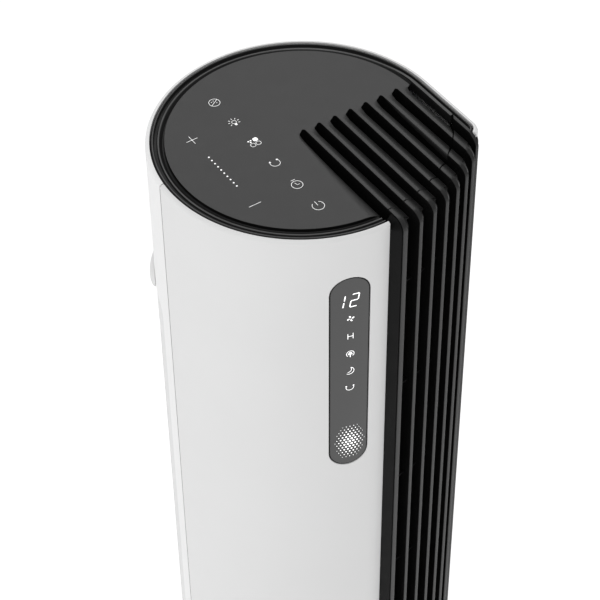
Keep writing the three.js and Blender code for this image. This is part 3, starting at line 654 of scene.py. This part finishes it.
def panel_outline(grow=0.15):
    """The panel's plan without its edge rounding, anticlockwise from the right."""
    start = math.degrees(math.atan2(3.43, 108.55))
    loop = [polar(PANEL_R, deg) for deg in steps(start, 270.3, 150) if deg < 269]
    front_y = -math.sqrt(PANEL_R ** 2 - 0.25)
    loop += [(slot_left(y) - grow, y) for y in (front_y, -90, -70, -50, -30, -15, -6, -2)]
    corner_x = slot_left(0) - grow
    for k in range(BAR_COUNT):
        loop += finger_outline(k, corner_x, grow)
        corner_x = bar_x(k) + bar_width(0) - grow
    return loop + [(corner_x, 0.0), (corner_x + 0.4, 1.2)]


def soft_line(share):
    """A mesh line along the soft fall beside the first slot."""
    rows = FADE_ROWS + (-12, -30, -50, -70, -90, -106.5)
    return [(slot_left(y) - soft_width(y) * (1 - share), y) for y in rows]


def shoulder_line(k, share):
    """A mesh line along finger k's shoulder, up to the joint with the grille."""
    front = -80.0
    for _ in range(6):  # the finger tapers, so its end is found step by step
        front = joint_y(shoulder_x(k, share, front), GRILLE_JOINT_R - 0.9)
    rows = FADE_ROWS + tuple(y for y in (-12, -30, -55, -80) if y > front + 4) + (front,)
    return [(shoulder_x(k, share, y), y) for y in rows]


bend_lines = [soft_line(share) for share in SOFT_SHARES]
bend_lines += [shoulder_line(k, share) for k in range(BAR_COUNT) for share in SHOULDER_SHARES]
panel = Shape()
# The panel's walls and back take the darker slot material, which paints the shade on the slot walls
slab(panel, [panel_outline()], bend_lines, lambda x, y, d: (x, y, PANEL_Z - panel_drop(x, y) - d),
     panel_thickness, panel_edge, wall_look=1, bends=3)
panel.finish("touch_panel", "tower", "dark_plastic", [PANEL, SLOT_BLACK_AND_SHADE], ["top_cover"])


# ---- Rim round the panel
# Its section as (radius, depth), from the panel outwards; at the right a bar replaces the inner rings
INNER_RINGS = [
    (PANEL_R + 0.3, 9), (PANEL_R + 0.3, 3.1), (109.5, 3.7), (110.4, 3.7), (111.3, 3.1), (112.1, 2.2),
    (112.7, 1.6), (113.1, 1.35), (114.1, 1.35), (114.4, 1.7), (114.5, 2.6), (115.0, 3.0),
]
SIDE_BAR = [
    (BORDER_X, 9), (BORDER_X, 3.1), (BORDER_X, 2.4), (BORDER_X, 1.6), (BORDER_X, 0.9), (BORDER_X, 0.45),
    (BORDER_X + 0.15, 0.18), (BORDER_X + 0.45, 0.1), (115.1, 0.1), (115.45, 0.5), (115.6, 2.6), (116.0, 3.0),
]
OUTER_RINGS = [
    (117.1, 3.0), (117.4, 2.4), (117.5, 0.8), (117.65, 0.4), (117.95, 0.2), (118.65, 0.2), (118.9, 0.5),
    (119.1, 1.4), (119.5, 2.4), (119.7, 9),
]
BEAD = 7  # the points from here on change with the angle between the two sections
OUTER_GROOVE = 9  # the points from here on are the groove and ring beside the casing
RIM_JOINT_Y = joint_y(BORDER_X + 2) + 0.4
ring_profile = INNER_RINGS + OUTER_RINGS
side_profile = SIDE_BAR + OUTER_RINGS


def rim_section(deg):
    """The rings' section, which eases into the side bar's before the right end of the panel."""
    t = eased((25 - deg) / 21.7)
    inner = ring_profile if deg > 3.25 else side_profile
    return inner[:BEAD] + [(a[0] + (b[0] - a[0]) * t, a[1] + (b[1] - a[1]) * t)
                           for a, b in zip(ring_profile[BEAD:], side_profile[BEAD:])]


rim = Shape()
rim_degs = steps(FRONT_EDGE_DEG - 0.2, 26, 140) + steps(25, 3.3, 14) + [3.2, 2, 1, 0]
loops = [[(*polar(r, deg), TOP - d) for r, d in rim_section(deg)] for deg in rim_degs]
loops += [[(x, y, TOP - d) for x, d in side_profile] for y in (-8, -25, RIM_JOINT_Y)]
# Points in the grooves and walls that lie in shade take the painted-shade copy of the rim's black
rim.loft(loops, look_of=lambda i: 1 if i < 6 or OUTER_GROOVE <= i < 14 else 0)
# Past the bar's joint with the grille the outer ring goes on alone, round the corner
ring_end = [(115.6, 9)] + side_profile[OUTER_GROOVE + 1:]
loops = [[(x, y, TOP - d) for x, d in ring_end] for y in (RIM_JOINT_Y, -52)]
loops += [[(*polar(x - CORNER[0], deg, *CORNER), TOP - d) for x, d in ring_end] for deg in steps(0, -58, 10)]
rim.loft(loops, look_of=lambda i: 1 if i < 5 else 0)
rim.finish("panel_rim", "tower", "black_plastic", [RIM_BLACK, RIM_PAINTED_SHADE], ["top_rim"])


# ---- Outlet grille
INNER_R = GRILLE_JOINT_R + 0.3
BAR_DEPTH = 19.0  # how deep the bars reach behind the grille's upper face
START_CHAMFER, CHAMFER_U = 0.55, 0.06  # the bars' chamfer at the joint with the panel
TICK_U = 1.14  # where a bar's wide shoulder ends in a small notch, just past the rounding's start
TICK_DEPTH = 1.1
SHOULDER = (0.1, 0.2, 0.32, 0.46, 0.6, 0.75, 0.9, 1.0)  # shares of the shoulder's width
FRONT_SHOULDER = (  # the shoulder's (x, depth) down the front, point by point
    (4.15, 0.05), (4.3, 0.16), (4.42, 0.36), (4.52, 0.8), (4.75, 1.6), (5.3, 2.6), (6.3, 3.6), (7.6, 4.2),
)
BAR_STATIONS = [0, 0.02, 0.04, CHAMFER_U, 0.5, 1, 1.05, 1.108, 1.112, 1.168, 1.172, 1.22, 1.28]
BAR_STATIONS += [1.34 + k * 0.066 for k in range(11)] + [2.05, 2.2, 2.4, 2.6, 2.8, 3]


def envelope(u):
    """(r, z) and its outward normal along the grille's outer face: u is 0 at the joint, 1 where the rounding
    starts, 2 where it ends and 3 at the bottom."""
    round_r, round_z = GRILLE_FACE_R - GRILLE_EDGE_R, PANEL_Z - GRILLE_EDGE_R
    if u <= 1:
        return INNER_R + (round_r - INNER_R) * u, PANEL_Z, 0.0, 1.0
    if u <= 2:
        a = math.pi / 2 * (u - 1)
        nr, nz = math.sin(a), math.cos(a)
        return round_r + GRILLE_EDGE_R * nr, round_z + GRILLE_EDGE_R * nz, nr, nz
    return GRILLE_FACE_R, round_z - (round_z - GRILLE_BOTTOM) * (u - 2), 1.0, 0.0


def on_grille(x, r, z, flat_x=None, front=0.0):
    """A point on the grille's round plan; front 1 lays it in the flat plane through flat_x instead."""
    across = x if flat_x is None else x + (flat_x - x) * front
    return x, GRILLE_CENTRE[1] - math.sqrt(max(r * r - (across - GRILLE_CENTRE[0]) ** 2, 1.0)), z


def past_tick(u):
    """0 on the upper face and 1 down the front, where the bars have flat faces."""
    return eased((u - TICK_U) / 0.2)


def start_sink(u):
    return START_CHAMFER * (1 - min(u / CHAMFER_U, 1.0)) ** 2


def bar_section(k, u):
    """(x, depth) along bar k's outer face at u: a wide shoulder on top, and a steep one down the front."""
    x0, front = bar_x(k), past_tick(u)
    face = BAR_FACE if k else FIRST_BAR_FACE
    left = x0 + (BAR_FACE_END - face - 0.15) * eased((u - 0.9) / 1.1)
    points = [(left, 0.5), (left + 0.07, 0.16), (left + 0.22, 0.03), (left + 0.5, 0.0)]
    points.append((x0 + TOP_FLAT + (BAR_FACE_END - 0.15 - TOP_FLAT) * front, 0.0))
    y = joint_y(x0 + 6)
    width, drop = bar_width(y), bar_drop(y)
    notch = TICK_DEPTH if abs(u - TICK_U) < 0.03 else 0.0
    for t, (front_x, front_depth) in zip(SHOULDER, FRONT_SHOULDER):
        x = TOP_FLAT + (width - TOP_FLAT) * t
        depth = drop * t ** SHOULDER_POWER + (notch if t > 0.4 else 0.0)
        points.append((x0 + x + (front_x - x) * front, depth + (front_depth - depth) * front))
    return [(x, depth + start_sink(u)) for x, depth in points]


def add_bar(shape, section_at, sides_look, face_look, first=0.0, flat_x=None):
    """Runs a section along the grille's outer face; the last two points of each loop lie at the back."""
    loops = []
    for u in [first] + [v for v in BAR_STATIONS if v > first]:
        r, z, nr, nz = envelope(u)
        section = section_at(u)
        outer = [on_grille(x, r - d * nr, z - d * nz, flat_x, past_tick(u)) for x, d in section]
        back_z = min(z, PANEL_Z - BAR_DEPTH) if u < 2.05 else z
        back = [on_grille(section[-1][0], INNER_R, back_z), on_grille(section[0][0], INNER_R, back_z)]
        loops.append(outer + back)
    last_face = len(section) - 2
    shape.loft(loops, sides_look, look_of=lambda i: face_look if i <= last_face else sides_look)


grille = Shape()
# Each bar's front face takes the grey and its sides the darker slot material, which paints the shade between
# the bars
for k in range(BAR_COUNT):
    add_bar(grille, lambda u: bar_section(k, u), 1, 0, flat_x=bar_x(k) + BAR_FACE_END)

# The last bar and the ring beside the casing's corner, as (x, depth)
LAST_BAR = (
    (BORDER_X, 0.5), (BORDER_X + 0.07, 0.16), (BORDER_X + 0.22, 0.03), (BORDER_X + 0.5, 0), (115.1, 0),
    (115.45, 0.5), (115.6, 5.0),
)
OUTER_BAND = (
    (115.5, 6.0), (116.7, 6.0), (116.95, 1.2), (117.15, 0.75), (117.6, 0.4), (119.0, 0.4), (119.45, 0.65),
    (119.7, 1.2),
)
add_bar(grille, lambda u: [(x, d + start_sink(u)) for x, d in LAST_BAR], 1, 0, flat_x=BORDER_X + 2.5)
add_bar(grille, lambda u: OUTER_BAND, 1, 0, first=1.05)

# The slanted border between the casing's front edge and the first bar; its darker, duller material paints the
# shade on it
border_x = edge_x + 0.35
border_depth = joint_y(border_x, GRILLE_FACE_R) - front_plan.at(front_plan.length)[1]
border = [
    (border_x, 1.3 - border_depth), (border_x + 0.1, 0.3 - border_depth),
    (border_x + 0.5, -border_depth - 0.1), (BAR_FIRST_X - 0.5, 0.9), (BAR_FIRST_X - 0.1, 1.1),
]
add_bar(grille, lambda u: border, 2, 2, first=0.42)

# Cross ribs near the front of the gaps, and the closed band at the bottom
RIB_TOP, RIB_PITCH, RIB_COUNT, RIB_HALF = 926.0, 118.0, 7, 1
BAND_TOP = 120.0
for i in range(RIB_COUNT):
    z = RIB_TOP - i * RIB_PITCH
    arc_band(grille, 125.5, 135.5, 268, 322, z - RIB_HALF, z + RIB_HALF, 24, 1)
arc_band(grille, 138.5, GRILLE_FACE_R - 0.3, 268, 318, GRILLE_BOTTOM, BAND_TOP, 30, 2, bevel=0.8)
grille.finish("outlet_grille", "tower", "black_plastic", [STRIPE, SLOT_BLACK_AND_SHADE, BORDER_BLACK_AND_SHADE], ["front_grille"], 28)


# ---- Marks: thin closed pieces laid on a surface
class Marks:
    """Strokes and filled shapes in millimetres round an origin on the surface place(u, v, depth)."""

    def __init__(self, place, height):
        self.shape, self.place, self.depths, self.origin = Shape(), place, (0.04, -height), (0, 0)

    def filled(self, points):
        area = sum(a[0] * b[1] - b[0] * a[1] for a, b in zip(points, points[1:] + points[:1]))
        points = points if area > 0 else points[::-1]
        u0, v0 = self.origin
        self.shape.loft([[self.place(u0 + u, v0 + v, depth) for u, v in points] for depth in self.depths])

    def disc(self, u, v, r, count):
        self.filled([polar(r, deg, u, v) for deg in steps(0, 360, count)[:-1]])

    def stroke(self, points, width):
        """A line of even width with square ends."""
        pairs = []
        for i, (u, v) in enumerate(points):
            a, b = points[max(i - 1, 0)], points[min(i + 1, len(points) - 1)]
            half = width / 2 / math.dist(a, b)
            du, dv = (b[1] - a[1]) * half, (b[0] - a[0]) * half
            pairs.append(((u - du, v + dv), (u + du, v - dv)))
        for (left, right), (left_next, right_next) in zip(pairs, pairs[1:]):
            self.filled([left, right, right_next, left_next])

    def ring(self, r, width, a0=0, a1=360, count=40, u=0, v=0):
        self.stroke([polar(r, deg, u, v) for deg in steps(a0, a1, count)], width)

    def draw(self, pieces):
        """Draws each piece's function round its own origin."""
        for piece, u, v in pieces:
            self.origin = (u, v)
            piece()


# ---- Touch panel's marks
LINE = 0.34
marks = Marks(lambda x, y, depth: (x, y, PANEL_Z - depth), 0.05)


def ioniser_icon():
    marks.ring(4.6, LINE)
    marks.stroke([(-4.0, -2.5), (4.0, 2.5)], LINE)
    for x, y in ((-1.8, 1.6), (0.2, 2.3), (1.6, -1.2)):
        marks.disc(x, y, 0.38, 8)


def light_icon():
    marks.ring(1.9, LINE)
    marks.filled([(-1.1, -2.3), (-0.8, -4.2), (0.8, -4.2), (1.1, -2.3)])
    for deg in range(-30, 211, 40):
        marks.stroke([polar(3.4, deg), polar(5.0, deg)], LINE * 1.3)


def mode_icon():
    """Four rounded leaves: one filled, two open and one a small fan."""
    marks.filled(rounded(0.4, 4.6, 0.4, 4.6, 1.5, 4))
    for left in (-4.6, 0.4):
        loop = rounded(left, left + 4.0, -4.6, -0.6, 1.5, 4)
        marks.stroke(loop + loop[:1], LINE)
    for deg in (30, 150, 270):
        marks.disc(*polar(1.3, deg, -2.6, 2.4), 0.75, 8)


def swing_icon():
    marks.ring(4.1, LINE, 150, 390)
    for deg, turn in ((150, -1), (30, 1)):
        tip = polar(1.7 * turn, deg + 90, *polar(4.1, deg))
        marks.filled([polar(3.1, deg), polar(5.1, deg), tip])


def timer_icon():
    marks.ring(4.5, LINE)
    marks.stroke([(-1.9, 6.2), (1.9, 6.2)], LINE)
    marks.stroke([(-0.6, 2.8), (0, -0.2), (2.2, -0.2)], LINE)


def power_icon():
    marks.ring(4.8, LINE, 125, 415)
    marks.stroke([(0, 5.6), (0, 0.4)], LINE)


def level_marks():
    marks.stroke([(-5.1, 44.4), (5.1, 44.4)], LINE)
    marks.stroke([(0, 39.3), (0, 49.5)], LINE)
    for i in range(10):
        marks.disc(0, 19.2 - 4.53 * i, 0.74, 16)
    marks.stroke([(-5.4, -47.4), (5.4, -47.4)], LINE)


marks.draw((
    (ioniser_icon, -35, 73.8), (light_icon, -35, 44.2), (mode_icon, -35, 14.5), (swing_icon, -35, -15.5),
    (timer_icon, -35, -46.6), (power_icon, -35, -75.8), (level_marks, -74.4, 0),
))
marks.shape.finish("panel_marks", "tower", "white_plastic", [MARKS])


# ---- Display
window_plan = Plan(Arc(0, 0, SHELL_R - 0.45, DISPLAY_DEG - 9, DISPLAY_DEG + 9))
window_middle = window_plan.length / 2


def display_sheet(name, inset, depth, thick, look, slot, stands_for=()):
    """A sheet bent to the casing, inset from the edge of the display's opening."""
    sheet = Shape()
    half = DISPLAY_WIDTH / 2 - inset
    outline = rounded(window_middle - half, window_middle + half, DISPLAY_LOW + inset, DISPLAY_HIGH - inset,
                      half - 0.01, 14)
    lines = [[(s, DISPLAY_LOW), (s, DISPLAY_HIGH)] for s in window_plan.stations(2.4)]
    slab(sheet, [outline], lines, lambda s, z, d: window_plan.place(s, z, d + depth), thick,
         lambda u, v: 0.25, bends=3)
    sheet.finish(name, "tower", slot, [look], stands_for)


display_sheet("display_glass", 1.5, 0.0, 2.4, SMOKED, "smoked_window", ["display_window"])
# The black frame fills the gap round the glass, a dark sheet standing in for the shade in that gap: painted
# shade
display_sheet("display_frame", 0.3, 0.5, 1.2, SLOT_BLACK_AND_SHADE, "black_plastic")


# ---- Display's lit marks
DIGIT_HEIGHT, DIGIT_WIDTH, DIGIT_LEAN = 13.2, 6.0, 0.16
SEGMENT_WIDTH, SEGMENT_GAP = 0.95, 0.15
LIT_LINE = 0.45
lit = Marks(lambda s, z, depth: window_plan.place(window_middle + s, z, depth), 0.06)


def segment(a, b):
    """One lit bar of a digit, pointed at both ends and leaning to the right."""
    length, w = math.dist(a, b), SEGMENT_WIDTH / 2
    du, dv = (b[0] - a[0]) / length, (b[1] - a[1]) / length
    half = [(SEGMENT_GAP, 0), (w, w), (length - w, w), (length - SEGMENT_GAP, 0)]
    points = []
    for ahead, across in half + [(length - w, -w), (w, -w)]:
        u, v = a[0] + du * ahead - dv * across, a[1] + dv * ahead + du * across
        points.append((u + DIGIT_LEAN * v, v))
    lit.filled(points)


def digit_one():
    segment((0, 0.2), (0, DIGIT_HEIGHT / 2 - 0.6))
    segment((0, DIGIT_HEIGHT / 2 + 0.6), (0, DIGIT_HEIGHT - 0.2))


def digit_two():
    low, middle, high = 0, DIGIT_HEIGHT / 2, DIGIT_HEIGHT
    segment((0, low), (0, middle))
    segment((DIGIT_WIDTH, middle), (DIGIT_WIDTH, high))
    for level in (low, middle, high):
        segment((0, level), (DIGIT_WIDTH, level))


def fan_mark():
    for deg in (15, 105, 195, 285):
        cos, sin = polar(1, deg)
        blade = [(0.5, -0.15), (2.2, -0.8), (3.1, -0.1), (2.9, 1.0), (1.6, 0.5)]
        lit.filled([(u * cos - v * sin, u * sin + v * cos) for u, v in blade])


def hours_mark():
    for side in (-2.2, 2.2):
        lit.stroke([(side, -3.0), (side, 3.0)], 0.5)
    lit.stroke([(-2.2, 0), (2.2, 0)], 0.5)


def ioniser_mark():
    """A small tree in an open ring."""
    lit.ring(3.2, LIT_LINE, -50, 230, 30)
    lit.filled([(-1.9, -0.8), (1.9, -0.8), (1.2, 1.2), (0, 2.0), (-1.2, 1.2)])
    lit.stroke([(0, -0.8), (0, -3.8)], 0.7)


def night_mark():
    """A crescent of two arcs."""
    lit.ring(3.9, LIT_LINE, -125, 70, 16, -0.6)
    lit.ring(3.5, LIT_LINE, 36, -85, 14, -2.3, 1.6)


def swing_mark():
    lit.ring(3.3, LIT_LINE, 170, 370, 24)
    for deg in (158, 22):
        lit.disc(*polar(3.3, deg, 0, 0.2), 0.7, 8)


def dot_patch():
    """Light dots in staggered rows, which shrink towards the patch's oval edge."""
    half_width, half_height, row_pitch, dot_pitch = 13.2, 21.5, 3.1, 3.2
    for row in range(-7, 8):
        for column in range(-5, 6):
            s = column * dot_pitch + (dot_pitch / 2 if row % 2 else 0)
            z = row * row_pitch
            away = math.hypot(s / half_width, z / half_height)
            if away < 1.0:
                lit.disc(s, z, 1.14 * (1 - 0.78 * away ** 1.5), 10)


lit.draw((
    (digit_one, -6.0, 925.4), (digit_two, -0.4, 925.4), (fan_mark, 0.6, 912.3), (hours_mark, 0.6, 892.5),
    (ioniser_mark, 0.6, 872.4), (night_mark, 0.6, 852.8), (swing_mark, 0.6, 833.2), (dot_patch, 1.1, 766.8),
))
lit.shape.finish("display_marks", "tower", "white_plastic", [LIT])


# ---- Intake door
DOOR_R = SHELL_R - 0.4
DOOR_EDGE, DOOR_WALL, DOOR_CORNER = 0.5, 3.2, 11
OPENING_MARGIN, OPENING_TOP_MARGIN = 16.0, 39
LOUVRE_PITCH = 7.6
door_plan = Plan(Arc(0, 0, DOOR_R, 14.2, 165.8))
open_low, open_high = DOOR_LOW + OPENING_MARGIN, DOOR_HIGH - OPENING_TOP_MARGIN
opening = (door_plan.on_arc(0, 21.5), door_plan.on_arc(0, 158.5), open_low, open_high, 6)


def louvre(z):
    """Loops of one slat, which slopes down and outwards."""
    section = [(3.2, 1.9), (3.0, 0.9), (0.7, -1.9), (0.35, -1.8), (0.25, -1.4), (2.4, 1.7)]  # (depth, rise)
    return [[(*polar(DOOR_R - depth, deg), z + rise) for depth, rise in section]
            for deg in steps(21.1, 158.9, 60)]


door = Shape()
upright_wall(door, door_plan, DOOR_LOW, DOOR_HIGH, DOOR_WALL, [opening], DOOR_EDGE, corner=DOOR_CORNER)
louvre_count = int((open_high - open_low) / LOUVRE_PITCH)
for i in range(louvre_count):
    door.loft(louvre((open_low + open_high) / 2 + LOUVRE_PITCH * (i - (louvre_count - 1) / 2)))
for deg in (52, 90, 128):
    arc_band(door, DOOR_R - DOOR_WALL, DOOR_R - 1.6, deg - 0.9, deg + 0.9, open_low - 2, open_high + 2, 2, 0,
             (0, 0))
door.finish("intake_door", "door", "white_plastic", [WHITE], ["rear_door"])


# ---- Pull lip of the door
GRIP_DEG, GRIP_FULL_DEG = 62, 50  # half the lip's width, and half of its full part
GRIP_GAP, GRIP_BULGE, GRIP_HALF_HEIGHT = 0.3, 5.6, 12.5
grip_low, grip_high = heights("door_grip")


def grip_section(deg):
    """The lip's half-round section, fuller below, which falls in a quarter round to almost nothing."""
    t = unit((abs(deg - 90) - GRIP_FULL_DEG) / (GRIP_DEG - GRIP_FULL_DEG))
    taper = max(math.sqrt(1 - t * t), 0.03)
    loop = []
    for a in steps(-math.pi / 2, math.pi / 2, 12):
        bulge = GRIP_BULGE * max(math.cos(a), 0.0) ** 0.9 * (1 - 0.25 * math.sin(a)) * taper
        rise = GRIP_HALF_HEIGHT * math.sin(a) * (0.25 + 0.75 * taper)
        loop.append((*polar(SHELL_R + GRIP_GAP + bulge, deg), (grip_low + grip_high) / 2 + rise))
    return loop


lip = Shape()
lip.loft([grip_section(deg) for deg in steps(90 - GRIP_DEG, 90 + GRIP_DEG, 96)])
lip.finish("door_lip", "door", "white_plastic", [WHITE], ["door_grip"], sharp=50)


# ---- Cooling pad: sheets of fluted paper
SHEET_COUNT = 56
PAD_START_DEG, PAD_END_DEG = 25.6, 154.4
PAD_INNER_R, PAD_OUTER_R = 93.2, 113.8
SHEET_HALF_DEG, FLUTE_DEG, FLUTE_LENGTH = 0.18, 0.62, 2.3
pad_low, pad_high = heights("cooling_pad")


def pad_sheet(middle_deg, side):
    """Loops of one sheet; side is 1 or -1 and says which way its flutes start."""
    section = [(PAD_OUTER_R, -1), (PAD_OUTER_R, 1), (PAD_INNER_R, 1), (PAD_INNER_R, -1)]
    loops = []
    for z in steps(pad_low, pad_high, 130):
        deg = middle_deg + FLUTE_DEG * math.sin(z / FLUTE_LENGTH) * side
        loops.append([(*polar(r, deg + SHEET_HALF_DEG * face), z) for r, face in section])
    return loops


pad = Shape()
for n in range(SHEET_COUNT):
    middle_deg = PAD_START_DEG + (PAD_END_DEG - PAD_START_DEG) * (n + 0.5) / SHEET_COUNT
    pad.loft(pad_sheet(middle_deg, 1 if n % 2 else -1))
pad.finish("fluted_pad", "door", "pad_fibre", [PAD], ["cooling_pad"], sharp=40)


# ---- Water tank and its front
TANK_CORNER = 9
TANK_FACE_EDGE, TANK_FACE_WALL = 0.5, 3.4
tank_low, tank_high = box_mm("water_tank")
tank_floor, tank_rim = tank_low.z, tank_high.z


def tank_loop(inset, z):
    r = max(TANK_CORNER - inset, 0.6)
    plan = rounded(tank_low.x + inset, tank_high.x - inset, tank_low.y + inset, tank_high.y - inset, r, 6)
    return [(x, y, z) for x, y in plan]


# (inset, rise) from the floor, then from the rim, and inside from the floor again
tank_parts = (
    (tank_floor, ((4.0, 0), (1.4, 1.0), (0.3, 3.0), (0, 6), (0, 40))),
    (tank_rim, ((0, -8), (0, -0.6), (0.5, 0), (2.0, 0), (2.5, -0.6))),
    (tank_floor, ((2.5, 9), (3.2, 4.5), (6.0, 2.6))),
)
tank = Shape()
tank.loft([tank_loop(inset, z + rise) for z, rows in tank_parts for inset, rise in rows])
tank.finish("water_tank_clear", "tank", "clear_plastic", [CLEAR], ["water_tank"], sharp=35)

tank_plan = Plan(Arc(0, 0, SHELL_R - 0.2, 42.2, 137.8))
finger_middle = tank_plan.on_arc(0, 90)
finger_hole = (finger_middle - 45.8, finger_middle + 45.8, 214, 240, 12)
level_slot = (tank_plan.on_arc(0, 57.6), tank_plan.on_arc(0, 62.4), 89.6, 200.4, 4)
tank_face = Shape()
upright_wall(tank_face, tank_plan, TANK_LOW, TANK_HIGH, TANK_FACE_WALL, [finger_hole, level_slot],
             TANK_FACE_EDGE)
for x in (-60, 60):
    tank_face.box(x - 1.5, x + 1.5, tank_high.y + 0.4, 106.4, tank_floor, tank_rim)
tank_face.finish("tank_face", "tank", "white_plastic", [WHITE], ["tank_front"])


# ---- Base
BASE_R = box_mm("base_shell")[1].x
BASE_ROUND_R, BASE_ROUND_Z = 13, 25.5  # the rounding of the base's outer edge
base_low, base_high = heights("base_shell")
base_profile = [(BASE_R, base_low)]
base_profile += [polar(BASE_ROUND_R, a, BASE_R - BASE_ROUND_R, BASE_ROUND_Z) for a in steps(0, 62, 10)]
base_profile += [
    (BASE_R - 18, 41.6), (118, 47.0), (106, 50.2), (98, base_high - 0.4), (90, base_high), (46, base_high),
    (46, base_high - 3), (97, base_high - 3), (117, 43.8), (BASE_R - 19, 38.0), (BASE_R - 6, 33.0),
    (BASE_R - 3, 25), (BASE_R - 3, base_low),
]
cover = Shape()
cover.turned(base_profile, 144)
cover.finish("base_cover", "base", "white_plastic", [WHITE], ["base_shell"], sharp=30)

for i in range(1, 5):
    node = f"rubber_foot_{i}"
    low, high = box_mm(node)
    r = (high.x - low.x) / 2
    profile = [  # with a groove in its sole
        (0, 0), (r - 5.2, 0), (r - 4.8, 0.5), (r - 4.0, 0.5), (r - 3.6, 0), (r - 0.9, 0), (r - 0.2, 0.4),
        (r, 1.2), (r, high.z), (0, high.z),
    ]
    foot = Shape()
    foot.turned(profile, 40, (low.x + high.x) / 2, (low.y + high.y) / 2)
    foot.finish(f"foot_{i}", "base", "rubber", [RUBBER], [node])


# ---- Materials for the CAD nodes that are shown as they are
LOOKS = {
    BLACK: "base_plate mains_inlet lower_liner top_baffle ioniser_module blower_base_plate blower_top_plate "
           "blower_scroll blower_tongue blower_wheel pump_body",
    GREY: "turntable_race oscillation_pinion oscillation_gear tower_floor motor_deck water_tray drip_tray "
          "sump_tray float_bracket pump_impeller pad_frame",
    STEEL: "oscillation_motor hub_retainer float_pin blower_shaft base_screw_1 base_screw_2 base_screw_3 "
           "base_screw_4",
    ZINC: "base_ballast blower_motor",
    BOARD: "display_board touch_board control_board",
    BRASS: "upper_bearing tank_valve",
    RUBBER: "port_seal motor_bush_1 motor_bush_2 motor_bush_3",
    CLEAR: "riser_hose level_window",
    WHITE: "float_arm",
}
for look, names in LOOKS.items():
    for name in names.split():
        nodes[name].data.materials.clear()
        nodes[name].data.materials.append(look)


# ---- Floor and light, in metres from here on
FLOOR_HALF, WORLD_STRENGTH = 30, 0.42
FLOOR = material("studio_floor", grey(245), 0.8, grain=(30, 0.02), mottle=0.004, specular=0.1, glow=0.5)
floor_corners = rectangle(-FLOOR_HALF, FLOOR_HALF, -FLOOR_HALF, FLOOR_HALF)
floor_mesh = bpy.data.meshes.new("floor")
floor_mesh.from_pydata([(x, y, 0) for x, y in floor_corners], [], [(0, 1, 2, 3)])
floor_mesh.materials.append(FLOOR)
placed("floor", floor_mesh)

world = bpy.data.worlds.new("studio")
world.use_nodes = True
world_inputs = world.node_tree.nodes["Background"].inputs
world_inputs["Color"].default_value = (1, 1, 1, 1)
world_inputs["Strength"].default_value = WORLD_STRENGTH
bpy.context.scene.world = world


def area_light(name, at, aim_z, size, power):
    """A soft light that faces the tower's axis at the height aim_z."""
    data = bpy.data.lights.new(name, "AREA")
    data.shape = "RECTANGLE"
    data.size, data.size_y = size
    data.energy = power
    made = placed(name, data)
    made.location = at
    made.rotation_euler = (Vector((0, 0, aim_z)) - Vector(at)).to_track_quat("-Z", "Y").to_euler()


area_light("top_light", (1.02, 1.55, 2.86), 1.0, (1.7, 1.7), 13)
area_light("overhead_light", (-0.7, -0.5, 3.3), 0.9, (1.6, 1.6), 25)
area_light("front_light", (-1.2, -2.85, 1.5), 0.75, (2.2, 2.2), 13.5)
area_light("left_light", (-2.8, 1.2, 1.3), 0.75, (2.0, 2.4), 19)
bpy.context.scene.view_settings.view_transform = "Standard"
bpy.context.scene.view_settings.look = "None"


# ---- Camera, fitted to the photograph's angle and framing
LENS, SENSOR = 123.83, 36.0
CAMERA_AT = (-0.68952, -1.04496, TOP * MM + 1.06392)
CAMERA_FORWARD = (0.3888, 0.5919, -0.7060)
CAMERA_ROLL_DEG = -0.729

optics = bpy.data.cameras.new("camera")
optics.lens, optics.sensor_width = LENS, SENSOR
forward = Vector(CAMERA_FORWARD).normalized()
level_right = forward.cross(Vector((0, 0, 1))).normalized()
level_down = forward.cross(level_right)
cos, sin = polar(1, CAMERA_ROLL_DEG)
right = level_right * cos - level_down * sin
down = level_right * sin + level_down * cos
camera = placed("camera", optics)
camera.matrix_world = Matrix.Translation(CAMERA_AT) @ Matrix((right, -down, -forward)).transposed().to_4x4()
bpy.context.scene.camera = camera
